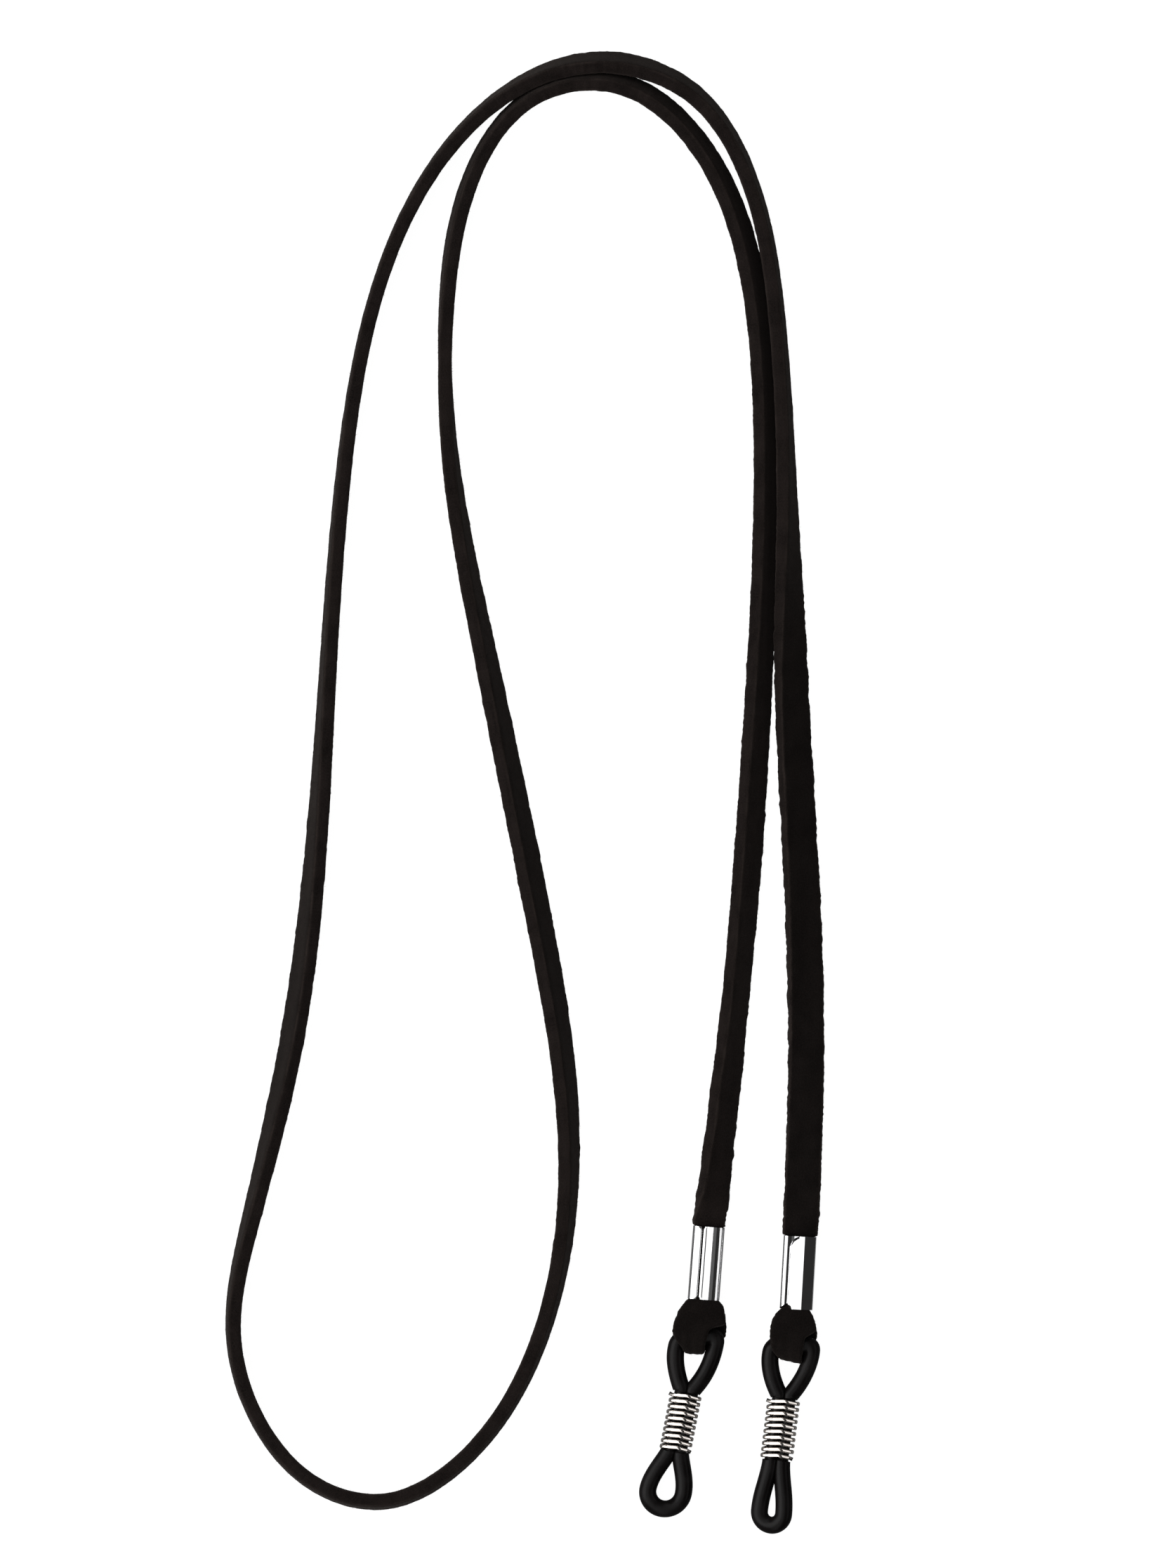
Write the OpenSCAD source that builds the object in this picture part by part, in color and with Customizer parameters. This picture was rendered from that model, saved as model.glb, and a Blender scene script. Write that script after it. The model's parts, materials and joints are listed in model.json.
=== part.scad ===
// Eyeglass retainer strap laid on a table: a flat suede lace whose two ends are folded through
// rubber loops and clamped in metal crimps, with a wire coil pinching each loop into an eye.
// Millimetres. +X runs to the right, +Y from the loops towards the far bend of the lace, +Z up.

/* [Suede lace] */
// Width of the lace
lace_w = 4; // [3.6:0.1:4.4]
// Thickness of the lace
lace_t = 1.5; // [1.2:0.05:1.6]
// Bevel along the lace's edges
lace_bevel = 0.35; // [0.1:0.05:0.5]
// Width of the lace where it enters a crimp
mouth_w = 3.6; // [3:0.1:3.6]
// Length over which the lace narrows to a crimp
narrow_len = 5; // [3:0.5:9]
// Length over which the lace rises from the table to a crimp
rise_len = 10; // [6:0.5:10]

/* [Crimps] */
// Length of a crimp along the lace
crimp_len = 8.3; // [6:0.1:11]
// Thickness of the crimp's sheet metal
crimp_wall = 0.3; // [0.2:0.05:0.4]
// Width of the lace pressed inside a crimp
pressed_w = 2.9; // [2.5:0.1:3.1]
// Thickness of each of the two pressed layers
pressed_t = 1.3; // [1.1:0.05:1.4]
// Outer radius of the crimp's corners
crimp_corner = 1.1; // [0.6:0.05:1.3]
// Gap between the two lips of the seam
seam_gap = 0.16; // [0.08:0.02:0.3]
// Width of the groove between the rolled lips
groove_w = 0.5; // [0.3:0.05:0.6]
// Width of the notch at each end of the seam
notch_w = 0.7; // [0.4:0.05:0.9]
// Length of the notch along the seam
notch_len = 0.6; // [0.3:0.05:1]

/* [Folds of lace round the loops] */
// Distance from a crimp's lower end to the middle of the rubber bar
fold_len = 4.2; // [4:0.1:6]
// Thickness of the lace round the bar
fold_t = 1; // [0.7:0.05:1.3]
// Radius of the shoulders beside the crimp
shoulder_r = 1.5; // [1:0.05:1.5]
// Radius of the shoulders' lower corners
hem_r = 0.5; // [0.2:0.05:0.7]
// Length of the hollow between the two layers, from the middle of the bar
hollow_len = 2.8; // [2:0.1:3.2]

/* [Rubber loops] */
// Diameter of the rubber cord
rubber_d = 1.9; // [1.6:0.05:2.1]
// Inside radius where the bar bends into the legs
bend_inside = 0.05; // [0.05:0.05:0.4]
// Length of straight leg below the bend
leg_run = 0.3; // [0.1:0.1:1]
// Width of a leg pinched inside the coil
pinched_w = 1.34; // [1.1:0.02:1.5]
// Height of a leg pinched inside the coil
pinched_h = 1.8; // [1.5:0.02:2]
// Distance from the coil at which the legs of the upper loop come together
leg_join = 0.3; // [0.1:0.1:0.8]
// Gap between the two pinched legs
leg_gap = 0.06; // [0.04:0.02:0.2]
// Length over which a leg swells from the coil to its full diameter
swell_len = 0.5; // [0.4:0.1:2]

/* [Wire coils] */
// Diameter of the wire
coil_wire = 0.36; // [0.3:0.02:0.38]
// Rise of each turn
coil_pitch = 0.84; // [0.8:0.02:0.9]
// Number of turns
coil_turns = 7.5; // [5:0.5:9]

/* [Clearances] */
// Between a crimp and the lace pressed in it
crimp_fit = 0.05; // [0.03:0.01:0.1]
// Round the rubber bar in its fold
bar_fit = 0.05; // [0.04:0.01:0.1]
// Between the fold's neck and the legs of the loop beside it
neck_fit = 0.08; // [0.05:0.01:0.15]
// Between the fold's shoulders and a loop that is swung square to them
swing_fit = 0.15; // [0.1:0.01:0.3]
// Between a coil and the legs that it pinches
coil_fit = 0.1; // [0.08:0.01:0.15]

/* [Left end] */
// Where the lace enters the left crimp, along X
left_mouth_x = -2.4; // [-3.4:0.1:-1.6]
// Where the lace enters the left crimp, along Y
left_mouth_y = 17.5; // [16.5:0.1:18]
// Angle of the left crimp on the table
left_crimp_turn = -4; // [-12:0.5:4]
// Distance of the left crimp's seam from the crimp's middle
left_seam = 0.9; // [0:0.05:1.2]
// Width of the left fold at its shoulders
left_fold_w = 5.9; // [5:0.1:6.4]
// Angle of the left loop on the table
left_loop_turn = -11; // [-14:0.5:0]
// Length of the straight bar that hangs in the left fold
left_bar_len = 2.3; // [2.2:0.05:3]
// Distance from the middle of the left bar to the coil
left_coil_drop = 6.7; // [6:0.1:8]
// Width of the left loop's eye
left_eye_gap = 2.1; // [0.8:0.1:2.6]
// Length of the left loop's eye below the coil
left_eye_len = 7.7; // [6.5:0.1:10]
// Twist of the left loop's eye
left_eye_twist = 0; // [0:1:20]
// Sideways lean of the left loop's eye
left_eye_lean = -1; // [-5:0.5:5]

/* [Right end] */
// Where the lace enters the right crimp, along X
right_mouth_x = 8; // [7.2:0.1:9]
// Where the lace enters the right crimp, along Y
right_mouth_y = 16.4; // [15.5:0.1:17]
// Angle of the right crimp on the table
right_crimp_turn = -3; // [-10:0.5:4]
// Distance of the right crimp's seam from the crimp's middle
right_seam = 1.15; // [0:0.05:1.2]
// Width of the right fold at its shoulders
right_fold_w = 5.5; // [5:0.1:6.4]
// Angle of the right loop on the table
right_loop_turn = -7; // [-12:0.5:0]
// Length of the straight bar that hangs in the right fold
right_bar_len = 2.6; // [2.2:0.05:3]
// Distance from the middle of the right bar to the coil
right_coil_drop = 6.4; // [6:0.1:8]
// Width of the right loop's eye
right_eye_gap = 1; // [0.8:0.1:2.6]
// Length of the right loop's eye below the coil
right_eye_len = 8.6; // [6.5:0.1:10]
// Twist of the right loop's eye
right_eye_twist = 18; // [0:1:20]
// Sideways lean of the right loop's eye
right_eye_lean = 4; // [-5:0.5:5]

/* [Hidden] */
$fn = 48;

// Each list holds the left end's value, then the right end's.
left = 0;
right = 1;
mouth = [[left_mouth_x, left_mouth_y], [right_mouth_x, right_mouth_y]];
crimp_turn = [left_crimp_turn, right_crimp_turn];
seam = [left_seam, right_seam];
fold_w = [left_fold_w, right_fold_w];
loop_turn = [left_loop_turn, right_loop_turn];
bar_len = [left_bar_len, right_bar_len];
coil_drop = [left_coil_drop, right_coil_drop];
eye_gap = [left_eye_gap, right_eye_gap];
eye_len = [left_eye_len, right_eye_len];
eye_twist = [left_eye_twist, right_eye_twist];
eye_lean = [left_eye_lean, right_eye_lean];

suede = [0.085, 0.075, 0.07];
chrome = [0.82, 0.83, 0.85];
rubber = [0.05, 0.05, 0.05];
nickel = [0.7, 0.69, 0.66];

// The fold lies on the table, so its outer radius sets the height of each end's axis.
rubber_r = rubber_d / 2;
bore_r = rubber_r + bar_fit;
fold_r = bore_r + fold_t;
axis_z = fold_r;

crimp_w = pressed_w + 2 * (crimp_fit + crimp_wall);
crimp_h = 2 * (pressed_t + crimp_fit + crimp_wall);
mouth_z = axis_z - pressed_t / 2;
neck_w = [for (bar = bar_len) bar - 2 * neck_fit];
hem_y = rubber_r + swing_fit;
shoulder_y = hem_y + shoulder_r;
// The fold stops short of the crimp's lower end, which may lie at an angle to it.
skew = max([for (end = [left, right]) abs(loop_turn[end] - crimp_turn[end])]);
fold_top = fold_len - crimp_w / 2 * sin(skew) - crimp_fit;
// Length of the pressed layers past the crimp, inside the fold.
fold_join = fold_len / 4;
// Reach of a cut past the faces that it opens.
cut_past = 1;

// The loop runs down from its bar at 0: bend, legs, coil and eye.
bend_r = rubber_r + bend_inside;
leg_half = [for (bar = bar_len) bar / 2 + bend_r];
leg_end = bend_r + leg_run;
leg_meet = [for (drop = coil_drop) drop - leg_join];
pinched_half = (pinched_w + leg_gap) / 2;
coil_len = coil_turns * coil_pitch + coil_wire;
coil_end = [for (drop = coil_drop) drop + coil_len];
coil_inner_w = pinched_half + pinched_w / 2 + coil_fit;
coil_inner_h = pinched_h / 2 + coil_fit;
coil_half_h = coil_inner_h + coil_wire;
eye_half = [for (end = [left, right]) eye_gap[end] / 2 + rubber_r];
tip = [for (end = [left, right]) coil_end[end] + eye_len[end] - rubber_r];
eye_mid = [for (end = [left, right]) tip[end] - eye_half[end]];

// A loop droops from its bar until its coil, its tip or the low side of its eye meets the table.
droop = [for (end = [left, right])
    let (coil_reach = norm([coil_end[end], coil_half_h]))
    let (low_side = eye_half[end] * sin(eye_twist[end]))
    min(asin(axis_z / coil_reach) - atan2(coil_half_h, coil_end[end]),
        asin((axis_z - rubber_r) / tip[end]),
        asin((axis_z - rubber_r - low_side) / eye_mid[end]))];

// Route of the lace from the right crimp round to the left one: X, Y and the lean of its flat
// side in degrees: 0 and 180 lie flat, and 90 stands on edge.
lace_route = [
    [right_mouth_x, right_mouth_y, 0], [8.6, 42, 14], [7.6, 68, 29], [7, 81, 38], [6.7, 94, 64],
    [5.4, 121, 82], [2.5, 136, 81], [-4.5, 146.8, 74], [-15.2, 150.1, 70], [-23.1, 147.9, 78],
    [-29.5, 143.1, 83], [-35.6, 134.9, 86], [-40.5, 122.8, 87], [-43.9, 104, 85], [-46.3, 72, 77],
    [-50, 38, 66], [-54.8, 17.2, 79], [-56.5, 5, 85], [-53.6, -4.8, 85], [-47.6, -11.6, 84],
    [-39.3, -13.8, 82], [-31.9, -10.4, 83], [-25.5, -3.2, 83], [-20.5, 8.3, 81], [-18.3, 26, 73],
    [-22, 54, 62], [-28.1, 84, 70], [-31.9, 106, 83], [-32.2, 123, 95], [-29.6, 136.5, 99],
    [-22.5, 146.1, 101], [-12.6, 147.7, 109], [-4.5, 142.1, 110], [1.2, 131.2, 113], [4, 112, 115],
    [3.5, 82, 117], [1.6, 54, 122], [0.1, 38, 126], [-1.3, 26, 133], [left_mouth_x, left_mouth_y, 180]
];
lace_last = len(lace_route) - 1;
lace_steps = 2;

function mix(a, b, t) = a + (b - a) * t;
function ease(t) = t <= 0 ? 0 : t >= 1 ? 1 : t * t * (3 - 2 * t);
function heading(turn) = [sin(turn), -cos(turn)];
function unit(v) = v / norm(v);

// Middle of a loop's bar on the table plan.
function bar_at(end) =
    mouth[end] + crimp_len * heading(crimp_turn[end]) + fold_len * heading(loop_turn[end]);

// Faces of a closed tube from its rings of points, as triangles.
function tube_faces(rings, sides) =
    let (top = (rings - 1) * sides)
    concat(
        [for (i = [0:rings - 2], j = [0:sides - 1])
            [i * sides + j, i * sides + (j + 1) % sides, (i + 1) * sides + (j + 1) % sides]],
        [for (i = [0:rings - 2], j = [0:sides - 1])
            [i * sides + j, (i + 1) * sides + (j + 1) % sides, (i + 1) * sides + j]],
        [for (j = [1:sides - 2]) [0, j + 1, j]],
        [for (j = [1:sides - 2]) [top, top + j, top + j + 1]]);

module tube(rings) {
    polyhedron(
        points = [for (ring = rings, p = ring) p],
        faces = tube_faces(len(rings), len(rings[0])),
        convexity = 10);
}

// Frames in which each end's pieces are drawn: -Y runs from the lace to the tip of the loop.
module in_crimp(end) {
    translate([mouth[end].x, mouth[end].y, axis_z]) rotate(crimp_turn[end]) children();
}

module in_fold(end) {
    translate([bar_at(end).x, bar_at(end).y, axis_z]) rotate(loop_turn[end]) children();
}

module in_loop(end) {
    in_fold(end) rotate([droop[end], 0, 0]) children();
}

module rounded_rect(w, h, r) {
    square([w, h - 2 * r], center = true);
    square([w - 2 * r, h], center = true);
    for (x = [-1, 1], y = [-1, 1]) {
        translate([x * (w / 2 - r), y * (h / 2 - r)]) circle(r);
    }
}

// Lace: cross-section, curve through the route's points, and its rings.
function lace_section(w) =
    let (x = w / 2, y = lace_t / 2, b = lace_bevel)
    [[x, y - b], [x, b - y], [x - b, -y], [b - x, -y], [-x, b - y], [-x, y - b], [b - x, y], [x - b, y]];

function plan(p) = [p.x, p.y];
function lace_chord(i) = norm(plan(lace_route[i + 1]) - plan(lace_route[i]));
function lace_rate(i) = (lace_route[i + 1] - lace_route[i]) / lace_chord(i);
function lace_slope(i) =
    i == 0 ? concat(-heading(crimp_turn[right]), 0)
    : i == lace_last ? concat(heading(crimp_turn[left]), 0)
    : (lace_chord(i) * lace_rate(i - 1) + lace_chord(i - 1) * lace_rate(i))
        / (lace_chord(i - 1) + lace_chord(i));
function lace_point(i, t) =
    let (d = lace_chord(i))
    (1 + 2 * t) * (1 - t) ^ 2 * lace_route[i] + t ^ 2 * (3 - 2 * t) * lace_route[i + 1]
    + d * t * (1 - t) ^ 2 * lace_slope(i) - d * t ^ 2 * (1 - t) * lace_slope(i + 1);
function lace_heading(i, t) =
    let (d = lace_chord(i))
    6 * t * (1 - t) * (lace_route[i + 1] - lace_route[i])
    + d * (1 - t) * (1 - 3 * t) * lace_slope(i) - d * t * (2 - 3 * t) * lace_slope(i + 1);
function nearness(p, reach) =
    max([for (m = mouth) ease(1 - norm(plan(p) - m) / reach)]);
function lace_ring(i, t) =
    let (p = lace_point(i, t))
    let (along = unit(plan(lace_heading(i, t))))
    let (section = lace_section(mix(lace_w, mouth_w, nearness(p, narrow_len))))
    let (heights = [for (q = section) q.x * sin(p.z) + q.y * cos(p.z)])
    let (rest = -min(heights))
    let (z = max(rest, mix(rest, mouth_z, nearness(p, rise_len))))
    [for (q = section)
        let (across = q.x * cos(p.z) - q.y * sin(p.z))
        [p.x - along.y * across, p.y + along.x * across, z + q.x * sin(p.z) + q.y * cos(p.z)]];

module strap() {
    color(suede) tube([
        for (i = [0:lace_last - 1], k = [0:lace_steps - 1]) lace_ring(i, k / lace_steps),
        lace_ring(lace_last - 1, 1)
    ]);
}

// Fold: side profile round the bar, plan with shoulders above the bar and a neck at it, and the
// two pressed layers that run through the crimp.
module fold_profile() {
    corner = [fold_top, pressed_t];
    touch = atan2(corner.y, corner.x) + acos(fold_r / norm(corner));
    circle(fold_r);
    polygon([[0, 0], fold_r * [cos(touch), -sin(touch)], [corner.x, -corner.y], corner,
        fold_r * [cos(touch), sin(touch)]]);
}

module fold_hollow() {
    touch = acos(bore_r / hollow_len);
    circle(bore_r);
    polygon([[hollow_len, 0], bore_r * [cos(touch), sin(touch)], bore_r * [cos(touch), -sin(touch)]]);
}

module fold_plan(end) {
    shoulder_x = fold_w[end] / 2 - shoulder_r;
    hem_x = fold_w[end] / 2 - hem_r;
    translate([-neck_w[end] / 2, -fold_r]) square([neck_w[end], fold_r + fold_top]);
    translate([-pressed_w / 2, shoulder_y]) square([pressed_w, fold_top - shoulder_y]);
    translate([-shoulder_x, hem_y]) square([2 * shoulder_x, 2 * shoulder_r]);
    translate([-hem_x, hem_y]) square([2 * hem_x, hem_r]);
    translate([-fold_w[end] / 2, hem_y + hem_r]) square([fold_w[end], shoulder_r - hem_r]);
    for (side = [-1, 1]) {
        translate([side * shoulder_x, shoulder_y]) circle(shoulder_r);
        translate([side * hem_x, hem_y + hem_r]) circle(hem_r);
    }
}

// Stands a profile drawn as distance towards the crimp and height, and runs it across the fold.
module across_fold(w) {
    translate([-w / 2, 0, 0]) rotate([90, 0, 90]) linear_extrude(w) children();
}

module strap_fold(end) {
    color(suede) {
        in_fold(end) difference() {
            intersection() {
                across_fold(fold_w[end]) fold_profile();
                translate([0, 0, -fold_r]) linear_extrude(2 * fold_r) fold_plan(end);
            }
            across_fold(fold_w[end] + cut_past) fold_hollow();
        }
        in_crimp(end) rotate([90, 0, 0]) linear_extrude(crimp_len + fold_join)
            rounded_rect(pressed_w, 2 * pressed_t, crimp_corner - crimp_wall - crimp_fit);
    }
}

// Crimp: a rolled sleeve with an open seam, a groove between the lips and a notch at each end.
module crimp(end) {
    inner_w = crimp_w - 2 * crimp_wall;
    inner_h = crimp_h - 2 * crimp_wall;
    color(chrome) in_crimp(end) difference() {
        rotate([90, 0, 0]) linear_extrude(crimp_len) difference() {
            rounded_rect(crimp_w, crimp_h, crimp_corner);
            rounded_rect(inner_w, inner_h, crimp_corner - crimp_wall);
            translate([-seam[end] - seam_gap / 2, 0]) square([seam_gap, crimp_h]);
            translate([-seam[end], crimp_h / 2]) circle(groove_w / 2);
        }
        for (y = [0, 1]) {
            translate([-seam[end], -y * crimp_len, 0]) mirror([0, y, 0]) linear_extrude(crimp_h)
                polygon([[-notch_w / 2, 0], [0, -notch_len], [notch_w / 2, 0], [0, notch_len]]);
        }
    }
}

// Rubber loop: half of its centreline runs from the bar's middle down one leg to the eye's tip.
bend_steps = 5;
leg_steps = 9;
eye_steps = 9;
tip_steps = 6;
rubber_sides = 10;
bar_overlap = 0.3;

function pinch_at(end, d) = ease(1 - max(coil_drop[end] - d, d - coil_end[end]) / swell_len);
function leg_half_w(end, d) = mix(rubber_r, pinched_w / 2, pinch_at(end, d));
function leg_half_h(end, d) = mix(rubber_r, pinched_h / 2, pinch_at(end, d));
function closing(end, d) = min(1, max(0, d - leg_end) / (leg_meet[end] - leg_end)) ^ 2;
function opening(end, d) = ease((d - coil_end[end]) / (eye_mid[end] - coil_end[end]));
function leg_at(end, d) =
    max(leg_half_w(end, d) + leg_gap / 2, d < coil_end[end]
        ? mix(leg_half[end], pinched_half, closing(end, d))
        : mix(pinched_half, eye_half[end], opening(end, d)));
function half_loop(end) = concat(
    [[bar_len[end] / 2 - bar_overlap, 0], [bar_len[end] / 2, 0]],
    [for (k = [1:bend_steps]) let (a = 90 * k / bend_steps)
        [bar_len[end] / 2 + bend_r * sin(a), bend_r * (1 - cos(a))]],
    [for (k = [0:leg_steps]) let (d = mix(leg_end, coil_drop[end], k / leg_steps)) [leg_at(end, d), d]],
    [for (k = [0:eye_steps]) let (d = mix(coil_end[end], eye_mid[end], k / eye_steps)) [leg_at(end, d), d]],
    [for (k = [1:tip_steps - 1]) let (a = 90 * k / tip_steps)
        [eye_half[end] * cos(a), eye_mid[end] + eye_half[end] * sin(a)]]);
function whole_loop(end) =
    let (half = half_loop(end))
    concat(half, [[0, tip[end]]], [for (i = [len(half) - 1:-1:0]) [-half[i].x, half[i].y]]);
function loop_ring(end, path, i) =
    let (p = path[i])
    let (along = unit(path[min(i + 1, len(path) - 1)] - path[max(i - 1, 0)]))
    let (half_w = leg_half_w(end, p.y), half_h = leg_half_h(end, p.y))
    let (twist = eye_twist[end] * opening(end, p.y))
    let (shift = max(0, p.y - coil_end[end]) * tan(eye_lean[end]))
    [for (k = [0:rubber_sides - 1])
        let (a = -360 * (k + 0.5) / rubber_sides)
        let (x = p.x + along.y * half_w * cos(a), z = half_h * sin(a))
        [shift + x * cos(twist) - z * sin(twist), along.x * half_w * cos(a) - p.y,
            x * sin(twist) + z * cos(twist)]];

module rubber_loop(end) {
    path = whole_loop(end);
    color(rubber) in_loop(end) {
        rotate([0, 90, 0]) cylinder(r = rubber_r, h = bar_len[end], center = true);
        tube([for (i = [0:len(path) - 1]) loop_ring(end, path, i)]);
    }
}

// Coil: one wire wound on an eight-sided oval, with eight rings of six sides in each turn. Seen
// from above its strands run down to the right.
coil_steps = 8;
wire_sides = 6;
coil_mid_h = coil_inner_h + coil_wire / 2;
coil_side = coil_inner_w + coil_wire / 2 - coil_mid_h;

function coil_point(k) =
    let (a = 180 - 360 * (k + 0.5) / coil_steps, r = coil_mid_h / cos(180 / coil_steps))
    [sign(cos(a)) * coil_side + r * cos(a), -coil_wire / 2 - coil_pitch * k / coil_steps, r * sin(a)];
function coil_path() = [for (k = [0:coil_turns * coil_steps]) coil_point(k)];
function coil_ring(path, i) =
    let (along = unit(path[min(i + 1, len(path) - 1)] - path[max(i - 1, 0)]))
    let (outward = unit(cross(along, [0, 1, 0])))
    let (sideways = cross(outward, along))
    [for (k = [0:wire_sides - 1]) let (a = 360 * k / wire_sides)
        path[i] + coil_wire / 2 * (cos(a) * outward + sin(a) * sideways)];

module coil(end) {
    path = coil_path();
    color(nickel) in_loop(end) translate([0, -coil_drop[end], 0])
        tube([for (i = [0:len(path) - 1]) coil_ring(path, i)]);
}

coil_line = coil_path();
coil_gap = min([for (i = [0:len(coil_line) - 1], j = [i + coil_steps / 2:1:len(coil_line) - 1])
    norm(coil_line[i] - coil_line[j])]) - coil_wire;
echo(least_gap_between_turns = coil_gap);

module left_strap_fold() { strap_fold(left); }
module right_strap_fold() { strap_fold(right); }
module left_crimp() { crimp(left); }
module right_crimp() { crimp(right); }
module left_rubber_loop() { rubber_loop(left); }
module right_rubber_loop() { rubber_loop(right); }
module left_coil() { coil(left); }
module right_coil() { coil(right); }

strap();
left_strap_fold();
right_strap_fold();
left_crimp();
right_crimp();
left_rubber_loop();
right_rubber_loop();
left_coil();
right_coil();
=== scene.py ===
import json
import math
import random

import bpy
import numpy as np
from mathutils import Matrix, Vector, noise


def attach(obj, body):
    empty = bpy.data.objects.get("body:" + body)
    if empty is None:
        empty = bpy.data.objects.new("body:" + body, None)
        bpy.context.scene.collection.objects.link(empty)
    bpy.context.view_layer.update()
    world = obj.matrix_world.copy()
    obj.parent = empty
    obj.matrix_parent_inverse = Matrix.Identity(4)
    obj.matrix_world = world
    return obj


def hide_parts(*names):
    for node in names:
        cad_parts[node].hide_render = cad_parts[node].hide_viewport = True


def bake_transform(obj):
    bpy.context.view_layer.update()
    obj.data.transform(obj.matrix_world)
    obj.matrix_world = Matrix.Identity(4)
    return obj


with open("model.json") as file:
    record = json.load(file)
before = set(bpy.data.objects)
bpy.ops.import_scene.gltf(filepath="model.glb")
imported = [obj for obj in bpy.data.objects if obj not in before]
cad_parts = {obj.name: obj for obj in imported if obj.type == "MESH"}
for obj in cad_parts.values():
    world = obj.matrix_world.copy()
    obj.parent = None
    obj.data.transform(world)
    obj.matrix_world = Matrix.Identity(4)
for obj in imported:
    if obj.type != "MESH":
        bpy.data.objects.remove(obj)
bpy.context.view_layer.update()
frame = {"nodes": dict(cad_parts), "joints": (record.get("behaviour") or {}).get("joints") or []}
mm = 0.001
print("frame loaded,", len(frame["nodes"]), "CAD nodes")


# Small helpers for working as by hand.
def deselectAll():
    if bpy.context.object and bpy.context.object.mode != "OBJECT":
        bpy.ops.object.mode_set(mode="OBJECT")
    bpy.ops.object.select_all(action="DESELECT")


def activate(piece):
    deselectAll()
    piece.select_set(True)
    bpy.context.view_layer.objects.active = piece


def editMode(piece, kind="VERT"):
    activate(piece)
    bpy.ops.object.mode_set(mode="EDIT")
    bpy.ops.mesh.select_mode(type=kind)
    bpy.ops.mesh.select_all(action="DESELECT")


def objectMode():
    bpy.ops.object.mode_set(mode="OBJECT")


def applyModifier(piece, kind, **settings):
    activate(piece)
    modifier = piece.modifiers.new(kind.title(), kind)
    for key, value in settings.items():
        setattr(modifier, key, value)
    bpy.ops.object.modifier_apply(modifier=modifier.name)


def normalsOut(piece):
    editMode(piece)
    bpy.ops.mesh.select_all(action="SELECT")
    bpy.ops.mesh.normals_make_consistent(inside=False)
    objectMode()


def smooth(piece):
    activate(piece)
    bpy.ops.object.shade_smooth()


def ease(t):
    t = min(max(t, 0.0), 1.0)
    return t * t * (3 - 2 * t)


def mix(a, b, t):
    return a + (b - a) * t


def roundedOutline(corners, arcSteps, flatCuts):  # corners are (x, y, radius), anticlockwise
    arcs = []
    count = len(corners)
    for i in range(count):
        before, here, after = (Vector(corners[k % count][:2]) for k in (i - 1, i, i + 1))
        toBefore = (before - here).normalized()
        toAfter = (after - here).normalized()
        half = toBefore.angle(toAfter) / 2
        radius = corners[i][2]
        centre = here + (toBefore + toAfter).normalized() * radius / math.sin(half)
        start = here + toBefore * radius / math.tan(half) - centre
        arc = []
        for k in range(arcSteps + 1):
            angle = (math.pi - 2 * half) * k / arcSteps
            c, s = math.cos(angle), math.sin(angle)
            arc.append(centre + Vector((start.x * c - start.y * s, start.x * s + start.y * c)))
        arcs.append(arc)
    outline = []
    for i, arc in enumerate(arcs):
        nextStart = arcs[(i + 1) % count][0]
        cuts = flatCuts[i % len(flatCuts)]
        outline += arc + [arc[-1].lerp(nextStart, k / cuts) for k in range(1, cuts)]
    return outline


def roundedBox(x, y, radius, arcSteps, flatCuts):  # x and y are half of its sides
    corners = [(x, y, radius), (-x, y, radius), (-x, -y, radius), (x, -y, radius)]
    return roundedOutline(corners, arcSteps, flatCuts)


def quarterTurn(steps):  # angles of a quarter of a circle, without the first
    return [math.radians(90 * k / steps) for k in range(1, steps + 1)]


def ahead(path, i):  # from the point before to the point after
    return path[min(i + 1, len(path) - 1)] - path[max(i - 1, 0)]


def newPiece(name, points, faces):
    mesh = bpy.data.meshes.new(name)
    mesh.from_pydata([tuple(p) for p in points], [], faces)
    piece = bpy.data.objects.new(name, mesh)
    bpy.context.scene.collection.objects.link(piece)
    return piece


def skin(name, rings):  # joins rings of points into a tube with closed ends
    count = len(rings[0])
    points = [p for ring in rings for p in ring]
    faces = [tuple(range(count)), tuple(range(len(points) - 1, len(points) - count - 1, -1))]
    for i in range(len(rings) - 1):
        for j in range(count):
            k = (j + 1) % count
            faces.append((i * count + j, (i + 1) * count + j, (i + 1) * count + k, i * count + k))
    piece = newPiece(name, points, faces)
    normalsOut(piece)
    smooth(piece)
    return piece


# Camera: straight above the table, with the photograph's framing.
photo = {
    "width": 1652,               # pixels
    "height": 2233,
    "pixel": 0.08 * mm,          # length under one pixel at the level below
    "level": 1.5 * mm,
    "origin": (1039, 1965.4),    # pixel at which the frame's origin lies
    "lens": 400,                 # long, so that the view is nearly flat
    "sensor": 36,                # along the picture's long side
    "nearest": 0.01,             # metres, at which the view begins
}
viewHeight = photo["height"] * photo["pixel"]
viewMiddle = (
    (photo["width"] / 2 - photo["origin"][0]) * photo["pixel"],
    (photo["origin"][1] - photo["height"] / 2) * photo["pixel"],
)
viewDistance = viewHeight * photo["lens"] / photo["sensor"]
deselectAll()
bpy.ops.object.camera_add(location=(*viewMiddle, photo["level"] + viewDistance), rotation=(0, 0, 0))
camera = bpy.context.object
camera.data.sensor_width = photo["sensor"]
camera.data.lens = photo["lens"]
camera.data.clip_start = photo["nearest"]
bpy.context.scene.camera = camera
print("camera set")


# Places of the two ends, from the frame's joints.
foldLength = 4.2 * mm    # from a crimp's lower end to the middle of the rubber bar
crimpLength = 8.3 * mm


def jointNamed(name):
    return next(joint for joint in frame["joints"] if joint["name"] == name)


def placing(across, along, origin):  # frame with x across and y from the loop's tip to the lace
    up = across.cross(along)
    return Matrix.Translation(origin) @ Matrix((across, along, up)).transposed().to_4x4()


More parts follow.
